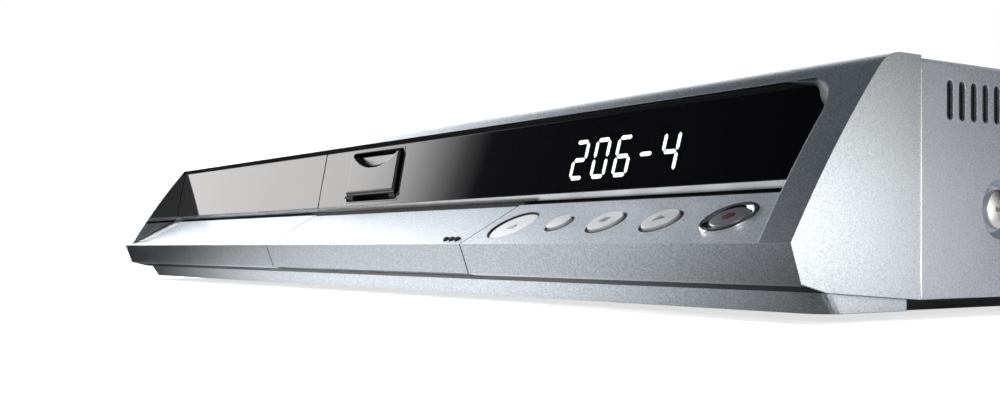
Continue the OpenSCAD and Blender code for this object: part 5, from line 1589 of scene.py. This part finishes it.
@dataclass
class Studio:
    """Camera, floor, lamps and cards.

    Attributes:
        eye: the camera's place, metres.
        heading: its turn about Z, degrees; it looks level.
        lens: focal length in millimetres on a 36 mm sensor.
        shift: the camera's shift, in widths of the image.
        floor_half: half the width of the floor.
        floor_lift: light that the floor adds where it is seen.
        soft_light: strength of the world's soft light.
        lamps: the lamps.
        cards: the cards.
    """

    eye: Triple = (379.21 * MM, -352.64 * MM, 16.26 * MM)
    heading: float = 56.868
    lens: float = 42.645
    shift: Pair = (0.04529, 0.04671)
    floor_half: float = 14.0
    floor_lift: float = 0.72
    soft_light: float = 0.35
    lamps: tuple[Lamp, ...] = (
        Lamp("top_lamp", (-0.3, -0.4, 2.4), (2.4, 2.4), 6),
        Lamp("front_lamp", (-0.6, -2.6, 0.9), (2.0, 1.0), 0.6),
        Lamp("back_lamp", (0.8, 2.6, 1.4), (2.0, 1.0), 14),
        Lamp("shelf_lamp", (-0.3, -0.34, 0.5), (0.2, 0.2), 0.235, (-0.1, -0.17, 0.01), 40),
        Lamp("shelf_middle_lamp", (-0.14, -0.36, 0.45), (0.1, 0.1), 0.155, (0.055, -0.185, 0.005), 34),
        Lamp("shelf_end_lamp", (-0.4, -0.34, 0.35), (0.1, 0.1), 0.05, (-0.195, -0.16, 0.02), 26),
    )
    cards: tuple[Card, ...] = field(default_factory=lambda: (
        Card.sky("left_softbox", (-60, 34), (1, 40), (20, 7, 3, 18), 2.5, 3.0, (1.0, 0.985, 0.975)),
        Card.sky("front_flag", (26, 150), (-1, 70), (8, 20, 0, 10), 0.004, 3.6),
        Card.sky("right_flag", (150, 262), (0, 60), (20, 12, 12, 10), 0.2, 3.6),
        Card.sky("top_canopy", (-180, 180), (28, 89), (0, 0, 12, 0), 0.085, 4.2),
        Card.table("table_shade", 0.79, 0.04, (0.182, 0.13)),
        Card.wing("right_wing", 0.32, 2.15, (-0.03, 0.03), (0.035, 0.026)),
    ))

    def build(self) -> None:
        """Makes the camera, the world, the floor, the lamps and the cards."""
        scene = bpy.context.scene
        scene.view_settings.view_transform = "Standard"
        lens = bpy.data.cameras.new("camera")
        lens.lens, lens.sensor_width = self.lens, 36
        lens.shift_x, lens.shift_y = self.shift
        lens.clip_start, lens.clip_end = 0.01, 100
        camera = bpy.data.objects.new("camera", lens)
        camera.location = self.eye
        camera.rotation_euler = (math.radians(90), 0, math.radians(self.heading))
        scene.collection.objects.link(camera)
        scene.camera = camera
        self._world(scene)
        self._floor()
        for light in (*self.lamps, *self.cards):
            light.build()

    def _world(self, scene: bpy.types.Scene) -> None:
        """Makes a world that is white where it is seen, also in gloss and glass, and weaker as soft light.

        Args:
            scene: the scene that takes the world.
        """
        world = bpy.data.worlds.new("studio")
        world.use_nodes = True
        tree = world.node_tree
        white = (1, 1, 1, 1)
        soft = tree.nodes["Background"]
        feed(tree, soft, {"Color": white, "Strength": self.soft_light})
        seen = put_node(tree, "Background", {"Color": white, "Strength": 1.0})
        mix = put_node(tree, "MixShader", {"Fac": seen_share(tree), 1: soft.outputs[0], 2: seen.outputs[0]})
        feed(tree, tree.nodes["World Output"], {"Surface": mix.outputs[0]})
        scene.world = world

    def _floor(self) -> None:
        """Makes the floor: a flat grid, white paper that also lifts towards white where it is seen."""
        x, y = np.meshgrid(np.linspace(-1, 1, 9), np.linspace(-1, 1, 9), indexing="ij")
        points = self.floor_half * np.stack([x, y, np.zeros_like(x)], -1)
        floor = put_mesh("floor", points.reshape(-1, 3), grid_faces(9, 9)[:, ::-1])
        mat = bpy.data.materials.new("floor_paper")
        mat.use_nodes = True
        tree = mat.node_tree
        paper = tree.nodes["Principled BSDF"]
        feed(tree, paper, {"Base Color": (0.86, 0.86, 0.87, 1), "Roughness": 0.9})
        strength = put_node(tree, "Math", {0: seen_share(tree), 1: self.floor_lift}, "MULTIPLY")
        lift = put_node(tree, "Emission", {"Strength": strength.outputs[0]})
        both = put_node(tree, "AddShader", {0: paper.outputs[0], 1: lift.outputs[0]})
        feed(tree, tree.nodes["Material Output"], {"Surface": both.outputs[0]})
        floor.data.materials.append(mat)


def seen_share(tree: Tree) -> Socket:
    """Adds up Light Path's camera, glossy and transmission rays.

    Args:
        tree: the nodes to add to.

    Returns:
        A socket that is one on those rays.
    """
    path = put_node(tree, "LightPath").outputs
    total = path["Is Camera Ray"]
    for name in ("Is Glossy Ray", "Is Transmission Ray"):
        total = put_node(tree, "Math", {0: total, 1: path[name]}, "MAXIMUM").outputs[0]
    return total


def dress_nodes(nodes: dict[str, bpy.types.Object], shop: Shop) -> None:
    """Gives each CAD node its finish.

    Args:
        nodes: the frame's nodes by name.
        shop: makes the finishes.
    """
    for finish, names in NODE_FINISH.items():
        for name in names:
            slots = nodes[name].data.materials
            slots.clear()
            slots.append(shop.material(finish))
            LOG.info("node %s: %s", name, finish.name)


def main() -> None:
    """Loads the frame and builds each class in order."""
    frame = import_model()
    shop = Shop()
    dress_nodes(frame["nodes"], shop)
    Studio().build()
    for assembly in (KeyRow(), Readout(), CardDoor(), FasciaTrim(), FrontShadeAndFeet(), CaseTrim(), PhonoRings()):
        assembly.build(shop)


if __name__ == "__main__":
    logging.basicConfig(level=logging.INFO, format="%(name)s: %(message)s")
    main()
